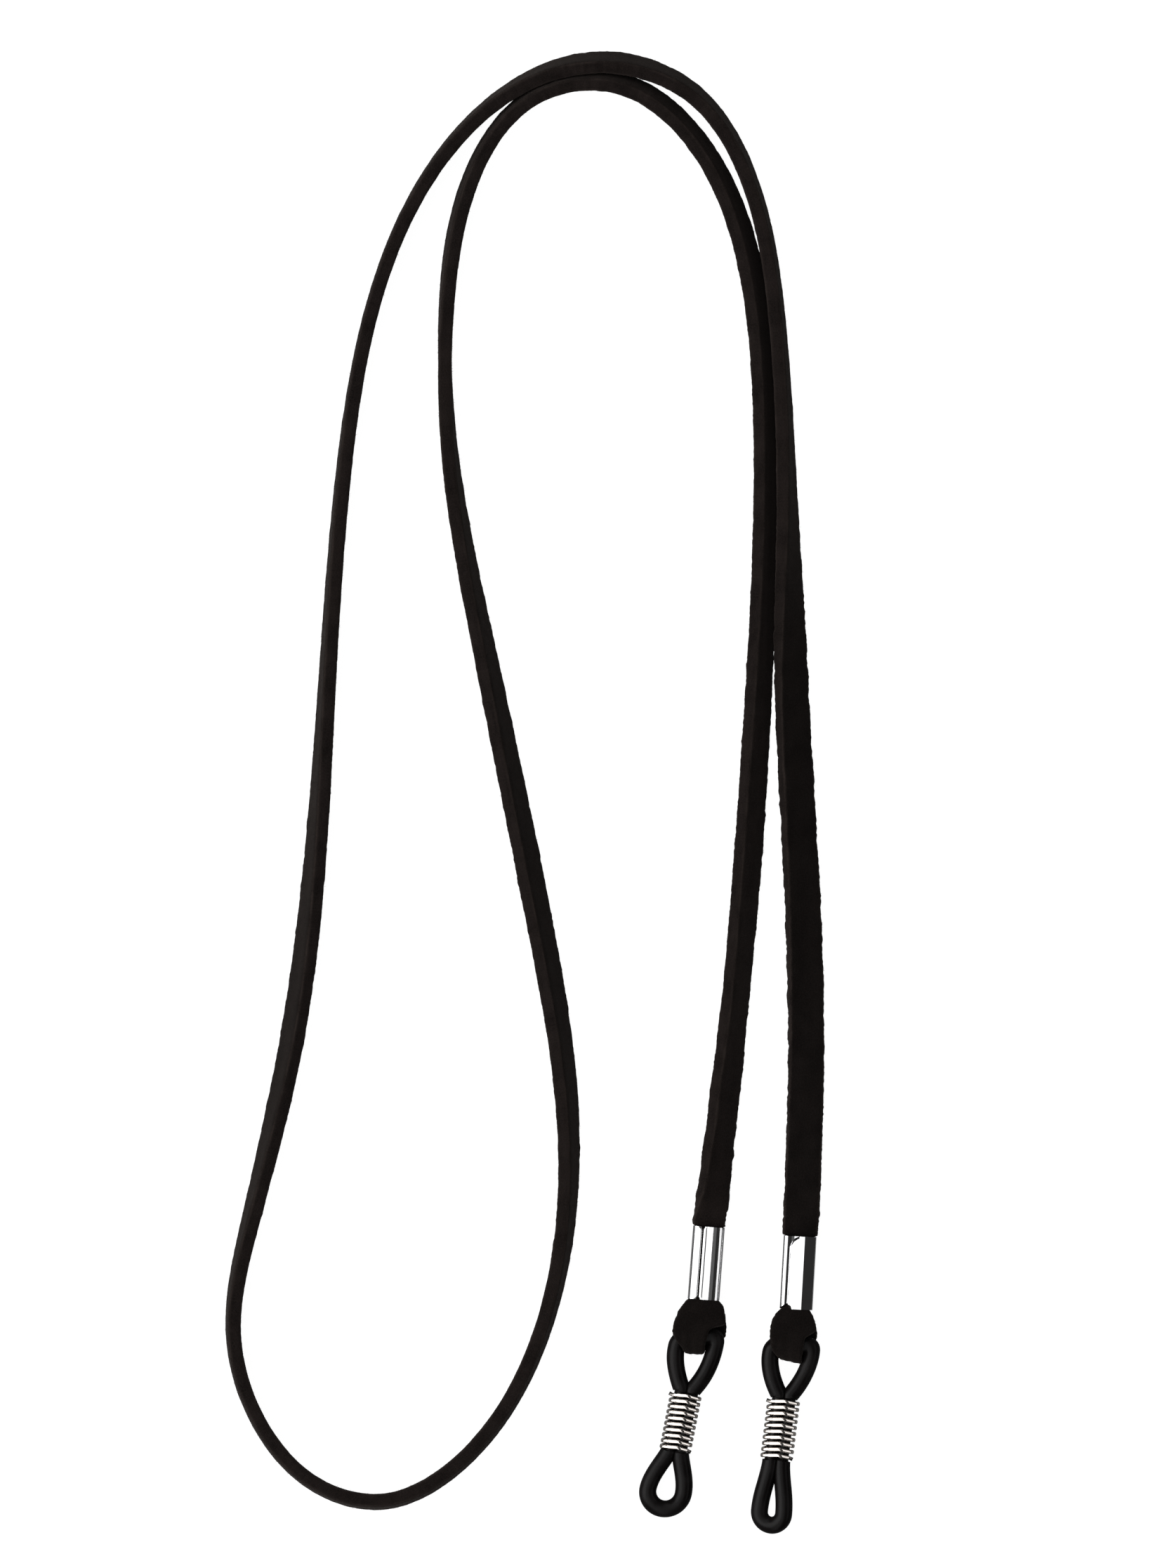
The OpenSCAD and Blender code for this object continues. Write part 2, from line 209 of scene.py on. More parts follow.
def endFrames(side, mouth):
    swing = jointNamed(side + "_loop_swing")
    bar = Vector(swing["pos_m"])
    across = -Vector(swing["axis"]).normalized()
    loopAlong = -Vector(jointNamed(side + "_coil_slide")["axis"]).normalized()
    foldAlong = Vector((0, 0, 1)).cross(across)
    crimpEnd = bar + foldAlong * foldLength
    crimpAlong = (Vector((*mouth, bar.z)) - crimpEnd).normalized()
    crimpAcross = crimpAlong.cross(Vector((0, 0, 1)))
    return {
        "loop": placing(across, loopAlong, bar),
        "fold": placing(across, foldAlong, bar),
        "crimp": placing(crimpAcross, crimpAlong, crimpEnd),
    }


# Lace: one flat suede cord from the right crimp round to the left one.
lace = {
    # X and Y in mm, and the lean of its flat side in degrees: 0 and 180 flat, 90 on edge
    "route": [
        (8.03, 16.4, 0), (8.7, 42, 14), (7.6, 68, 29), (7, 81, 38), (6.7, 94, 64),
        (5.4, 121, 82), (2.5, 136, 81), (-4.5, 146.8, 74), (-15.2, 150.1, 70), (-23.1, 147.9, 78),
        (-29.5, 143.1, 83), (-35.6, 134.9, 86), (-40.5, 122.8, 87), (-43.9, 104, 85), (-46.3, 72, 77),
        (-50, 38, 66), (-54.8, 17.2, 79), (-56.5, 5, 85), (-53.6, -4.8, 85), (-47.6, -11.6, 84),
        (-39.3, -13.8, 82), (-31.9, -10.4, 83), (-25.5, -3.2, 83), (-20.5, 8.3, 81), (-18.3, 26, 73),
        (-22, 54, 62), (-28.1, 84, 70), (-31.9, 106, 83), (-32.2, 123, 95), (-29.6, 136.5, 99),
        (-22.5, 146.1, 101), (-12.6, 147.7, 109), (-4.5, 142.1, 110), (1.2, 131.2, 113), (4, 112, 115),
        (3.5, 82, 119), (1.64, 54, 124), (0.2, 39, 124), (-0.48, 33, 129), (-1.2, 27, 131),
        (-1.54, 24, 139), (-1.9, 21, 151), (-2.35, 17.5, 180),
    ],
    "length": 651 * mm,
    "width": 4.08 * mm,
    "thickness": 1.55 * mm,
    "corner": 0.38 * mm,
    "mouthWidth": {"left": 3.68 * mm, "right": 4.05 * mm},   # where it enters a crimp
    "narrowing": {"left": 12 * mm, "right": 3 * mm},
    "arcSteps": 4,               # of its section
    "flatCuts": (6, 2),
    "rise": 10 * mm,             # length over which it lifts off the table to a crimp
    "mouthHeight": 1.35 * mm,
    "tuck": 2.5 * mm,            # hidden length inside each crimp
    "tuckWidth": 2.8 * mm,
    "tuckThickness": 1.2 * mm,
    "squeeze": 0.3 * mm,         # length over which a crimp squeezes it
    "squeezeOutside": 0.6,       # share of that length before the mouth
    "chordSteps": 60,            # points of the curve between two of the route's
    "step": 0.27 * mm,
    "fineEnd": 5 * mm,           # with finer steps in and near the crimps
    "fineStep": 0.08 * mm,
    "ragged": 0.15 * mm,         # wander of the cut edges
    "raggedReach": 0.8 * mm,     # from the edges inwards
    "rough": 0.02 * mm,          # unevenness of the flat sides
    # noises: per mm along, per radian round, and an offset of the seed
    "slowWander": (0.55, 0.5, 0),
    "quickWander": (2.3, 1, 9),
    "grain": (1.1, 3, 20),
    "knots": (0.8, 0.6, 40),
    "knotsAbove": 0.42,          # of the noise, what is below stays even
    "wanderShare": 0.7,
    "knotShare": 2.2,
    "seed": 3.0,
    "cutReach": 0.3 * mm,        # a cut edge's fibres show from here outwards
    "cutFade": 0.2 * mm,
    "cornerSpread": 35,          # degrees either side of a corner's middle that fray and carry a painted edge highlight
}
mouths = {
    "right": tuple(v * mm for v in lace["route"][0][:2]),
    "left": tuple(v * mm for v in lace["route"][-1][:2]),
}
ends = {side: endFrames(side, mouths[side]) for side in ("left", "right")}


def smoothSlopes(points, chords, first, last):  # slopes of the cubic curve that bends least abruptly
    count = len(points)
    system = np.eye(count)
    known = np.zeros(points.shape)
    known[0] = first
    known[-1] = last
    rates = np.diff(points, axis=0) / chords[:, None]
    for i in range(1, count - 1):
        system[i, i - 1] = chords[i]
        system[i, i] = 2 * (chords[i - 1] + chords[i])
        system[i, i + 1] = chords[i - 1]
        known[i] = 3 * (chords[i] * rates[i - 1] + chords[i - 1] * rates[i])
    return np.linalg.solve(system, known)


def laceLine():  # points a step apart along the lace: x, y in metres and the lean in degrees
    route = np.array(lace["route"], float) * (mm, mm, 1)
    chords = np.linalg.norm(np.diff(route[:, :2], axis=0), axis=1)
    out = {side: ends[side]["crimp"].to_3x3() @ Vector((0, 1, 0)) for side in ends}
    first, last = out["right"], -out["left"]
    slopes = smoothSlopes(route, chords, (first.x, first.y, 0), (last.x, last.y, 0))
    fine = []
    for i, d in enumerate(chords):
        for t in np.linspace(0, 1, lace["chordSteps"], endpoint=False):
            fine.append(
                (1 + 2 * t) * (1 - t) ** 2 * route[i] + t ** 2 * (3 - 2 * t) * route[i + 1]
                + d * t * (1 - t) ** 2 * slopes[i] - d * t ** 2 * (1 - t) * slopes[i + 1])
    fine.append(route[-1])
    for side, at, place in (("right", 0, 0), ("left", -1, len(fine) + 1)):
        inside = Vector((*mouths[side], 0)) - lace["tuck"] * out[side]
        fine.insert(place, np.array((inside.x, inside.y, route[at][2])))
    fine = np.array(fine)
    along = np.concatenate([[0], np.cumsum(np.linalg.norm(np.diff(fine[:, :2], axis=0), axis=1))])
    fineEnd = np.arange(0, lace["fineEnd"], lace["fineStep"])
    middle = np.linspace(lace["fineEnd"], along[-1] - lace["fineEnd"], int(along[-1] / lace["step"]))
    at = np.concatenate([fineEnd, middle, along[-1] - fineEnd[::-1]])
    return at, np.stack([np.interp(at, along, fine[:, k]) for k in range(3)], axis=1)


def nearMouth(point, side, reach):
    return ease(1 - math.dist(point[:2], mouths[side]) / reach)


def intoCrimp(at, total):  # 0 outside the crimps, 1 inside them
    return ease((lace["tuck"] - min(at, total - at)) / lace["squeeze"] + lace["squeezeOutside"])


def laceSection(width, thickness):
    return roundedBox(width / 2, thickness / 2, lace["corner"], lace["arcSteps"], lace["flatCuts"])


def raggedPoint(q, at, width, thickness, seed):  # moves a section's point in and out along the lace
    turn = math.atan2(q.y / thickness, q.x / width)

    def uneven(kind):
        along, around, offset = lace[kind]
        return noise.noise((at / mm * along, turn * around, seed + offset))

    edge = ease((abs(q.x) - width / 2 + lace["raggedReach"]) / lace["raggedReach"])
    wander = uneven("slowWander") + uneven("quickWander")
    knot = max(0, uneven("knots") - lace["knotsAbove"])
    shift = lace["wanderShare"] * wander + lace["knotShare"] * knot
    shift = edge * lace["ragged"] * shift + lace["rough"] * uneven("grain")
    return q + q.normalized() * shift


def laceRings(at, line):
    rings = []
    for i, point in enumerate(line):
        heading = Vector((*ahead(line, i)[:2], 0)).normalized()
        left = Vector((-heading.y, heading.x, 0))
        lean = math.radians(point[2])
        tucked = intoCrimp(at[i], at[-1])
        end = "right" if at[i] < at[-1] / 2 else "left"
        narrowed = nearMouth(point, end, lace["narrowing"][end])
        width = mix(lace["width"], lace["mouthWidth"][end], narrowed)
        width = mix(width, lace["tuckWidth"], tucked)
        thickness = mix(lace["thickness"], lace["tuckThickness"], tucked)
        section = laceSection(width, thickness)
        flat = [raggedPoint(q, at[i], width, thickness, lace["seed"]) for q in section]
        turned = [
            (q.x * math.cos(lean) - q.y * math.sin(lean), q.x * math.sin(lean) + q.y * math.cos(lean))
            for q in flat]
        rest = -min(h for _, h in turned)
        height = max(rest, mix(rest, lace["mouthHeight"], nearMouth(point, end, lace["rise"])))
        middle = Vector((point[0], point[1], height))
        rings.append([middle + left * a + Vector((0, 0, h)) for a, h in turned])
    return rings


def layCoordinates(piece, count, stations, width):  # UV in metres along and round, and the cut edges
    mesh = piece.data
    uv = mesh.uv_layers.new(name="lay")
    cut = mesh.attributes.new("cutEdge", "FLOAT", "POINT")
    ringLength = 2 * (width + lace["thickness"])
    for loop in mesh.loops:
        ring, spot = divmod(loop.vertex_index, count)
        uv.data[loop.index].uv = (stations[ring], ringLength * abs(2 * spot / count - 1))
    return cut


def inCorner(q):  # 1 in the middle of a section's rounded corner, 0 on its sides
    across = abs(q.x) - lace["width"] / 2 + lace["corner"]
    up = abs(q.y) - lace["thickness"] / 2 + lace["corner"]
    if min(across, up) <= 0:
        return 0
    return ease(1 - abs(math.degrees(math.atan2(up, across)) - 45) / lace["cornerSpread"])


laceAt, lacePlan = laceLine()
laceRingList = laceRings(laceAt, lacePlan)
laceCount = len(laceRingList[0])
lacePiece = skin("suede_lace", laceRingList)
cutAndUndersideLightLayer = layCoordinates(lacePiece, laceCount, laceAt, lace["width"])
flatOutline = laceSection(lace["width"], lace["thickness"])
cutAndUndersideLight = [                    # the underside gets the cut edges' lighter colour in full, as painted light where it is lit less
    ease((abs(q.x) - lace["width"] / 2 + lace["cutReach"]) / lace["cutFade"]) if q.y > 0 else 1
    for q in flatOutline]
# the rounded corners carry a lighter line, a painted edge highlight
cornerHighlightShare = [inCorner(q) for q in flatOutline]
corners = lacePiece.data.attributes.new("frayedCornerHighlight", "FLOAT", "POINT")
for i in range(len(laceRingList) * laceCount):
    cutAndUndersideLightLayer.data[i].value = cutAndUndersideLight[i % laceCount]
    corners.data[i].value = cornerHighlightShare[i % laceCount]
lacePath = [sum(ring, Vector()) / laceCount for ring in laceRingList]
print("lace laid,", len(laceRingList), "rings,", round(laceAt[-1] / mm), "mm")


# Shader graphs: a wrapped socket takes Python's operators, and node() adds any other node.
class Socket:
    def __init__(self, graph, output):
        self.graph = graph
        self.output = output

    def maths(self, operation, a, b):
        return self.graph.node("ShaderNodeMath", {"operation": operation}, {0: a, 1: b})

    def __add__(self, other):
        return self.maths("ADD", self, other)

    def __sub__(self, other):
        return self.maths("SUBTRACT", self, other)

    def __rsub__(self, other):
        return self.maths("SUBTRACT", other, self)

    def __mul__(self, other):
        return self.maths("MULTIPLY", self, other)

    __radd__ = __add__
    __rmul__ = __mul__


class Graph:
    def __init__(self, name):
        self.material = bpy.data.materials.new(name)
        self.material.use_nodes = True
        self.tree = self.material.node_tree
        self.tree.nodes.clear()

    def node(self, kind, settings=None, inputs=None, output=0):
        made = self.tree.nodes.new(kind)
        for key, value in (settings or {}).items():
            if key == "stops":
                for stop, (place, colour) in zip(made.color_ramp.elements, value):
                    stop.position = place
                    stop.color = colour
            else:
                setattr(made, key, value)
        for key, value in (inputs or {}).items():
            if isinstance(value, Socket):
                self.tree.links.new(value.output, made.inputs[key])
            else:
                made.inputs[key].default_value = value
        return Socket(self, made.outputs[output]) if made.outputs else None

    def scaled(self, vector, scale):
        return self.node("ShaderNodeVectorMath", {"operation": "MULTIPLY"}, {0: vector, 1: scale})

    def place(self):
        return self.node("ShaderNodeTexCoord", {}, {}, "Object")

    def attribute(self, name):
        return self.node("ShaderNodeAttribute", {"attribute_name": name}, {}, 2)

    def noise(self, vector, scale, detail=2):
        inputs = {"Vector": vector, "Scale": scale, "Detail": detail}
        return self.node("ShaderNodeTexNoise", {"noise_dimensions": "3D"}, inputs)

    def ramp(self, value, low, high):
        black, white = (0, 0, 0, 1), (1, 1, 1, 1)
        return self.node("ShaderNodeValToRGB", {"stops": [(low, black), (high, white)]}, {"Fac": value})

    def blend(self, a, b, share):
        return self.node("ShaderNodeMix", {"data_type": "RGBA"}, {0: share, 6: a, 7: b}, 2)

    def bump(self, height, strength, distance):
        inputs = {"Height": height, "Strength": strength, "Distance": distance}
        return self.node("ShaderNodeBump", {}, inputs)

    def surface(self, inputs):
        shader = self.node("ShaderNodeBsdfPrincipled", {}, inputs)
        self.node("ShaderNodeOutputMaterial", {}, {"Surface": shader})
        return self.material


suedeLook = {
    "face": (0.0036, 0.0029, 0.0027, 1),
    "nap": (0.0080, 0.0064, 0.0058, 1),
    # lighter colour of the cut edges, also laid in full on the lace's underside as painted light
    "cut": (0.0130, 0.0098, 0.0090, 1),
    # lighter line along the rounded corners: painted edge highlight, broken up like fraying
    "frayAndHighlight": (0.024, 0.0185, 0.0165, 1),
    "grain": 5200,               # noises, per metre
    "fibres": 8320,
    "fibreLay": (0.3, 1, 1),     # drawn out along the lace
    "patch": 320,
    "napRange": (0.36, 0.66),    # of the noise, from the face's colour to the nap's
    "frayRange": (0.38, 0.64),
    "cutLeast": 0.15,            # share of the cut's colour where nothing frays
    "cutFrayed": 0.8,
    "roughness": 0.95,
    "specular": 0.02,
    "sheen": 0.04,
    "sheenRoughness": 0.5,
    "sheenTint": (1, 0.85, 0.78, 1),
    "bump": (0.7, 0.06 * mm),    # strength and depth
    "strayPatch": 900,           # of the standing fibres
    "strayRoughness": 0.9,
    "straySpecular": 0.1,
}


def suedeMaterial():
    g = Graph("black_suede")
    lay = g.node("ShaderNodeUVMap", {"uv_map": "lay"})
    grain = g.noise(lay, suedeLook["grain"], 3)
    fibres = g.noise(g.scaled(lay, suedeLook["fibreLay"]), suedeLook["fibres"])
    patches = g.noise(lay, suedeLook["patch"])
    napped = g.ramp(grain * 0.55 + patches * 0.45, *suedeLook["napRange"])
    face = g.blend(suedeLook["face"], suedeLook["nap"], napped)
    frayAndHighlight = g.ramp(grain * 0.6 + patches * 0.4, *suedeLook["frayRange"])
    # cut edges lighter, and the lace's underside lighter as painted light
    cutShare = g.attribute("cutEdge") * (suedeLook["cutLeast"] + suedeLook["cutFrayed"] * frayAndHighlight)
    cutAndUndersideLit = g.blend(face, suedeLook["cut"], cutShare)
    # painted edge highlight along the rounded corners, broken up by the fray noise
    colour = g.blend(cutAndUndersideLit, suedeLook["frayAndHighlight"], g.attribute("frayedCornerHighlight") * frayAndHighlight)
    height = grain * 0.6 + fibres * 0.4
    return g.surface({
        "Base Color": colour,
        "Roughness": suedeLook["roughness"],
        "Specular IOR Level": suedeLook["specular"],
        "Sheen Weight": suedeLook["sheen"],
        "Sheen Roughness": suedeLook["sheenRoughness"],
        "Sheen Tint": suedeLook["sheenTint"],
        "Normal": g.bump(height, *suedeLook["bump"]),
    })


def fibreMaterial():
    g = Graph("suede_fibre")
    patches = g.noise(g.place(), suedeLook["strayPatch"], 1)
    return g.surface({
        "Base Color": g.blend(suedeLook["face"], suedeLook["cut"], patches),
        "Roughness": suedeLook["strayRoughness"],
        "Specular IOR Level": suedeLook["straySpecular"],
    })


suede = suedeMaterial()
suedeFibre = fibreMaterial()


# Nap: short fibres that stand out of the suede, each a bent sliver with a closed foot.
nap = {
    "laceCount": 14000,
    "foldCount": 600,
    "laceSeed": 11,
    "length": (0.10 * mm, 0.34 * mm),
    "shortest": 0.5,             # share of that length that a worn one has left
    "radius": 0.011 * mm,
    "sides": 3,
    "sway": 0.9,                 # from the face's normal
    "leastOut": 0.15,            # cosine to the normal, below which a fibre is set upright
    "bend": 0.6,
    "kneeAt": 0.55,              # shares of the length, the lean and the radius at the knee
    "kneeLean": 0.25,
    "kneeRadius": 0.75,
    "sunk": 0.02 * mm,
}


def addNap(name, source, count, seed):
    draw = random.Random(seed)
    mesh = source.data
    polygons = [p for p in mesh.polygons if len(p.vertices) == 4]
    totals = np.cumsum([p.area for p in polygons])
    points, faces, sides = [], [], nap["sides"]
    for _ in range(count):
        face = polygons[int(np.searchsorted(totals, draw.random() * totals[-1]))]
        corners = [mesh.vertices[v].co for v in face.vertices]
        u, v = draw.random(), draw.random()
        foot = corners[0].lerp(corners[1], u).lerp(corners[3].lerp(corners[2], u), v)
        sway = Vector((draw.uniform(-1, 1), draw.uniform(-1, 1), draw.uniform(-1, 1)))
        out = (face.normal + nap["sway"] * sway).normalized()
        if out.dot(face.normal) < nap["leastOut"]:
            out = (out + face.normal).normalized()
        side = out.orthogonal().normalized()
        other = out.cross(side)
        length = draw.uniform(*nap["length"]) * draw.uniform(nap["shortest"], 1)
        lean = (side * draw.uniform(-1, 1) + other * draw.uniform(-1, 1)) * nap["bend"] * length
        foot = foot - face.normal * nap["sunk"]
        knee = foot + out * length * nap["kneeAt"] + lean * nap["kneeLean"]
        tip = foot + out * length + lean
        if min(knee.z, tip.z) < nap["radius"] or foot.z < nap["radius"]:
            continue
        start = len(points)
        knees = start + sides
        for centre, radius in ((foot, nap["radius"]), (knee, nap["radius"] * nap["kneeRadius"])):
            for k in range(sides):
                angle = math.tau * k / sides
                points.append(centre + (side * math.cos(angle) + other * math.sin(angle)) * radius)
        points.append(tip)
        faces.append(tuple(reversed(range(start, knees))))
        for k in range(sides):
            n = (k + 1) % sides
            faces.append((start + k, start + n, knees + n, knees + k))
            faces.append((knees + k, knees + n, knees + sides))
    piece = newPiece(name, points, faces)
    piece.data.materials.append(suedeFibre)
    return piece


lacePiece.data.materials.append(suede)
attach(lacePiece, "strap")
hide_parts("strap")
laceNap = addNap("suede_lace_nap", lacePiece, nap["laceCount"], nap["laceSeed"])
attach(laceNap, "strap")
print("lace nap standing")


# Folded ends of the lace: out of the crimp, round the rubber bar and back.
fold = {
    # in mm: distance from the bar, height of a layer's middle and its thickness
    "layer": [
        (6.4, 0.66, 1.24), (4.3, 0.66, 1.24), (3.75, 0.75, 1.20), (3.35, 0.84, 1.18),
        (2.85, 0.95, 1.14), (2.3, 1.06, 1.10), (1.75, 1.18, 1.06), (1.2, 1.31, 1.02),
        (0.6, 1.44, 1.0), (0, 1.5, 1.0),
    ],
    "spacing": 0.08 * mm,
    "rounding": 4,               # stations either side over which an edge is rounded
    "barRadius": 1.5 * mm,       # of the layer's middle round the bar
    "arcSteps": 45,
    "corner": 0.42,              # share of the thickness
    "cornerSteps": 5,
    "flatCuts": (14, 2),
    "flapLift": 0.2 * mm,        # of a flap that lies over the ring's bend
    "flapFade": 0.6 * mm,        # length over which it lifts
    "flapFrom": 0.4 * mm,        # from the bar
    "hemReach": 2.5 * mm,
    "pleat": 0.025 * mm,
    "pleats": 3,
    "pleatsFrom": 3.2 * mm,      # from the bar
    "pleatsFade": 2 * mm,
    "fibrous": 0.05,             # its faces, where a cut edge is 1
    "turnsFrom": 3.0 * mm,       # distances from the bar at which makeFold finds two points, which it does not use
    "turnsFully": 0.3 * mm,
    # edges in mm: front from the crimp down, round the bar by degrees, and back from the bar up
    "left": {
        "seed": 50.0,
        "hem": 0.14,             # slope of the hem
        "drop": 1.08,            # its distance from the bar, as a share of the even one
        "front": [
            (6.4, -1.38, 1.38), (4.6, -1.38, 1.38), (4.4, -1.42, 1.55), (4.25, -1.46, 1.85),
            (3.95, -1.78, 2.25), (3.6, -2.02, 2.45), (3.27, -2.20, 2.60), (2.8, -2.38, 2.80),
            (2.4, -2.52, 2.94), (1.95, -2.64, 3.05), (1.75, -2.68, 3.02), (1.6, -2.71, 2.75),
            (1.45, -2.74, 2.25), (1.3, -2.76, 1.85), (1.1, -2.79, 1.52), (0.72, -2.80, 1.26),
            (0.3, -2.76, 1.15), (0, -2.70, 1.10),
        ],
        "round": [
            (0, -2.70, 1.10), (10, -2.62, 1.10), (18, -2.50, 1.12), (26, -2.27, 1.15),
            (35, -2.0, 1.18), (50, -1.62, 1.22), (65, -1.2, 1.24), (80, -1.08, 1.24),
            (130, -1.06, 1.3), (145, -1.06, 1.9), (155, -1.06, 2.5), (165, -1.1, 2.9),
            (172, -1.1, 3.08), (180, -1.12, 3.2),
        ],
        "back": [
            (0, -1.12, 3.2), (0.3, -1.2, 3.25), (0.71, -1.45, 3.29), (1.1, -1.64, 3.27),
            (1.63, -1.8, 3.18), (2.1, -1.9, 3.05), (2.64, -1.9, 2.88), (3.0, -1.9, 2.75),
            (3.39, -1.8, 2.58), (3.7, -1.7, 2.45), (4.01, -1.55, 2.26), (4.25, -1.45, 1.9),
            (4.4, -1.4, 1.6), (4.6, -1.38, 1.4), (6.4, -1.38, 1.38),
        ],
    },
    "right": {
        "seed": 70.0,
        "hem": -0.1,
        "drop": 0.92,
        "front": [
            (6.4, -1.38, 1.38), (4.6, -1.38, 1.38), (4.25, -1.5, 1.46), (4.0, -1.85, 1.75),
            (3.46, -2.27, 2.1), (3.0, -2.45, 2.30), (2.62, -2.57, 2.45), (2.1, -2.61, 2.58),
            (1.85, -2.62, 2.60), (1.7, -2.63, 2.35), (1.6, -2.63, 1.9), (1.5, -2.63, 1.6),
            (1.1, -2.64, 1.40), (0.64, -2.63, 1.32), (0.3, -2.55, 1.30), (0, -2.45, 1.26),
        ],
        "round": [
            (0, -2.45, 1.26), (10, -2.40, 1.26), (20, -2.37, 1.28), (30, -2.34, 1.30),
            (40, -2.2, 1.34), (52, -1.95, 1.38), (62, -1.6, 1.4), (72, -1.36, 1.4),
            (85, -1.22, 1.4), (130, -1.22, 1.4), (145, -1.22, 1.45), (155, -1.22, 1.65),
            (165, -1.22, 2.0), (172, -1.22, 2.3), (180, -1.25, 2.5),
        ],
        "back": [
            (0, -1.25, 2.5), (0.3, -1.35, 2.66), (0.74, -1.5, 2.74), (1.24, -1.65, 2.78),
            (1.5, -1.72, 2.84), (1.62, -1.74, 2.80), (1.9, -1.8, 2.66), (2.26, -1.82, 2.56),
            (2.98, -1.85, 2.35), (3.62, -1.75, 2.02), (4.02, -1.55, 1.75), (4.3, -1.45, 1.5),
            (4.6, -1.38, 1.38), (6.4, -1.38, 1.38),
        ],
    },
}


def between(rows, at):  # values of a table's rows at a place
    table = np.array(rows)
    return [np.interp(at, table[:, 0], table[:, k]) for k in range(1, table.shape[1])]


def foldStations(side):  # y, z, left edge, right edge and thickness, along the folded lace
    layer, own = fold["layer"][::-1], fold[side]
    top = layer[-1][0]
    levels = np.linspace(top, 0, round(top * mm / fold["spacing"]) + 1)
    stations = []
    for y in levels[:-1]:
        z, thickness = between(layer, y)
        stations.append((y, z, *between(own["front"][::-1], y), thickness))
    for k in range(fold["arcSteps"] + 1):
        degrees = 180 * k / fold["arcSteps"]
        angle = math.radians(degrees)
        y, z = -fold["barRadius"] / mm * math.sin(angle), fold["barRadius"] / mm * math.cos(angle)
        stations.append((y, z, *between(own["round"], degrees), layer[0][2]))
    for y in levels[-2::-1]:
        z, thickness = between(layer, y)
        stations.append((y, -z, *between(own["back"], y), thickness))
    table = np.array(stations)
    reach = fold["rounding"]
    for column in (2, 3):        # rounds the edges' corners
        padded = np.pad(table[:, column], reach, mode="edge")
        table[:, column] = np.convolve(padded, np.ones(2 * reach + 1) / (2 * reach + 1), mode="valid")
    return table * mm


def makeFold(side):
    stations, own = foldStations(side), fold[side]
    neck = own["round"][-1][1] * -mm
    rings, along = [], [0.0]
    for i, (y, z, low, high, thickness) in enumerate(stations):
        run = Vector((0, *ahead(stations, i)[:2])).normalized()
        out = Vector((0, -run.z, run.y))
        if i:
            along.append(along[-1] + math.dist(stations[i][:2], stations[i - 1][:2]))
        x, r = (high - low) / 2, thickness * fold["corner"]
        outline = roundedBox(x, thickness / 2, r, fold["cornerSteps"], fold["flatCuts"])
        gather = fold["pleat"] * ease((fold["pleatsFrom"] - y) / fold["pleatsFade"])
        sloped = own["hem"] * ease(1 - y / fold["hemReach"])
        nearBar = ease((fold["flapFrom"] - y) / fold["flapFade"])
        ring = []
        for q in outline:
            q = raggedPoint(q, along[-1], 2 * x, thickness, own["seed"])
            ripple = gather * math.cos(fold["pleats"] * math.pi * q.x / x)
            across = q.x + (low + high) / 2
            lift = fold["flapLift"] * ease((-across - neck) / fold["flapFade"]) * nearBar
            place = Vector((across, y, z)) + out * (q.y + ripple + (lift if z > 0 else 0))
            if y < 0:
                place.y *= own["drop"]
            place.y += sloped * min(max(across, -neck), neck)
            ring.append(ends[side]["fold"] @ place)
        rings.append(ring)
    piece = skin(side + "_suede_fold", rings)
    cut = layCoordinates(piece, len(rings[0]), along, 2 * neck)
    for value in cut.data:
        value.value = fold["fibrous"]
    piece.data.materials.append(suede)
    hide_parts(side + "_strap_fold")
    fuzz = addNap(side + "_suede_fold_nap", piece, nap["foldCount"], int(own["seed"]))
    start, end = (ends[side]["fold"] @ Vector((0, fold[key], 0)) for key in ("turnsFrom", "turnsFully"))
    for part in (piece, fuzz):
        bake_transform(part)


# Tails: the folded layer goes on inside the crimp and ends just short of its mouth.
tail = {
    "start": 2.3 * mm,           # along the crimp
    "end": 8.0 * mm,
    "height": 0.49 * mm,         # of its middle
    "halfWidth": 1.4 * mm,
    "thickness": 1.04 * mm,
    "spacing": 0.1 * mm,
    "flatCuts": (10, 2),
    "seed": {"left": 90.0, "right": 95.0},
}


def makeTail(side):
    x, t, r = tail["halfWidth"], tail["thickness"] / 2, tail["thickness"] * fold["corner"]
    outline = roundedBox(x, t, r, fold["cornerSteps"], tail["flatCuts"])
    along = np.arange(tail["start"], tail["end"], tail["spacing"])
    rings = []
    for y in along:
        uneven = [raggedPoint(q, y, 2 * x, 2 * t, tail["seed"][side]) for q in outline]
        rings.append([ends[side]["crimp"] @ Vector((q.x, y, tail["height"] + q.y)) for q in uneven])
    piece = skin(side + "_suede_tail", rings)
    cut = layCoordinates(piece, len(outline), along, 2 * x)
    for i, value in enumerate(cut.data):
        value.value = 1 if i // len(outline) == len(rings) - 1 else fold["fibrous"]
    piece.data.materials.append(suede)
    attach(piece, "strap")


for side in ("left", "right"):
    makeFold(side)
    makeTail(side)
print("folds made")


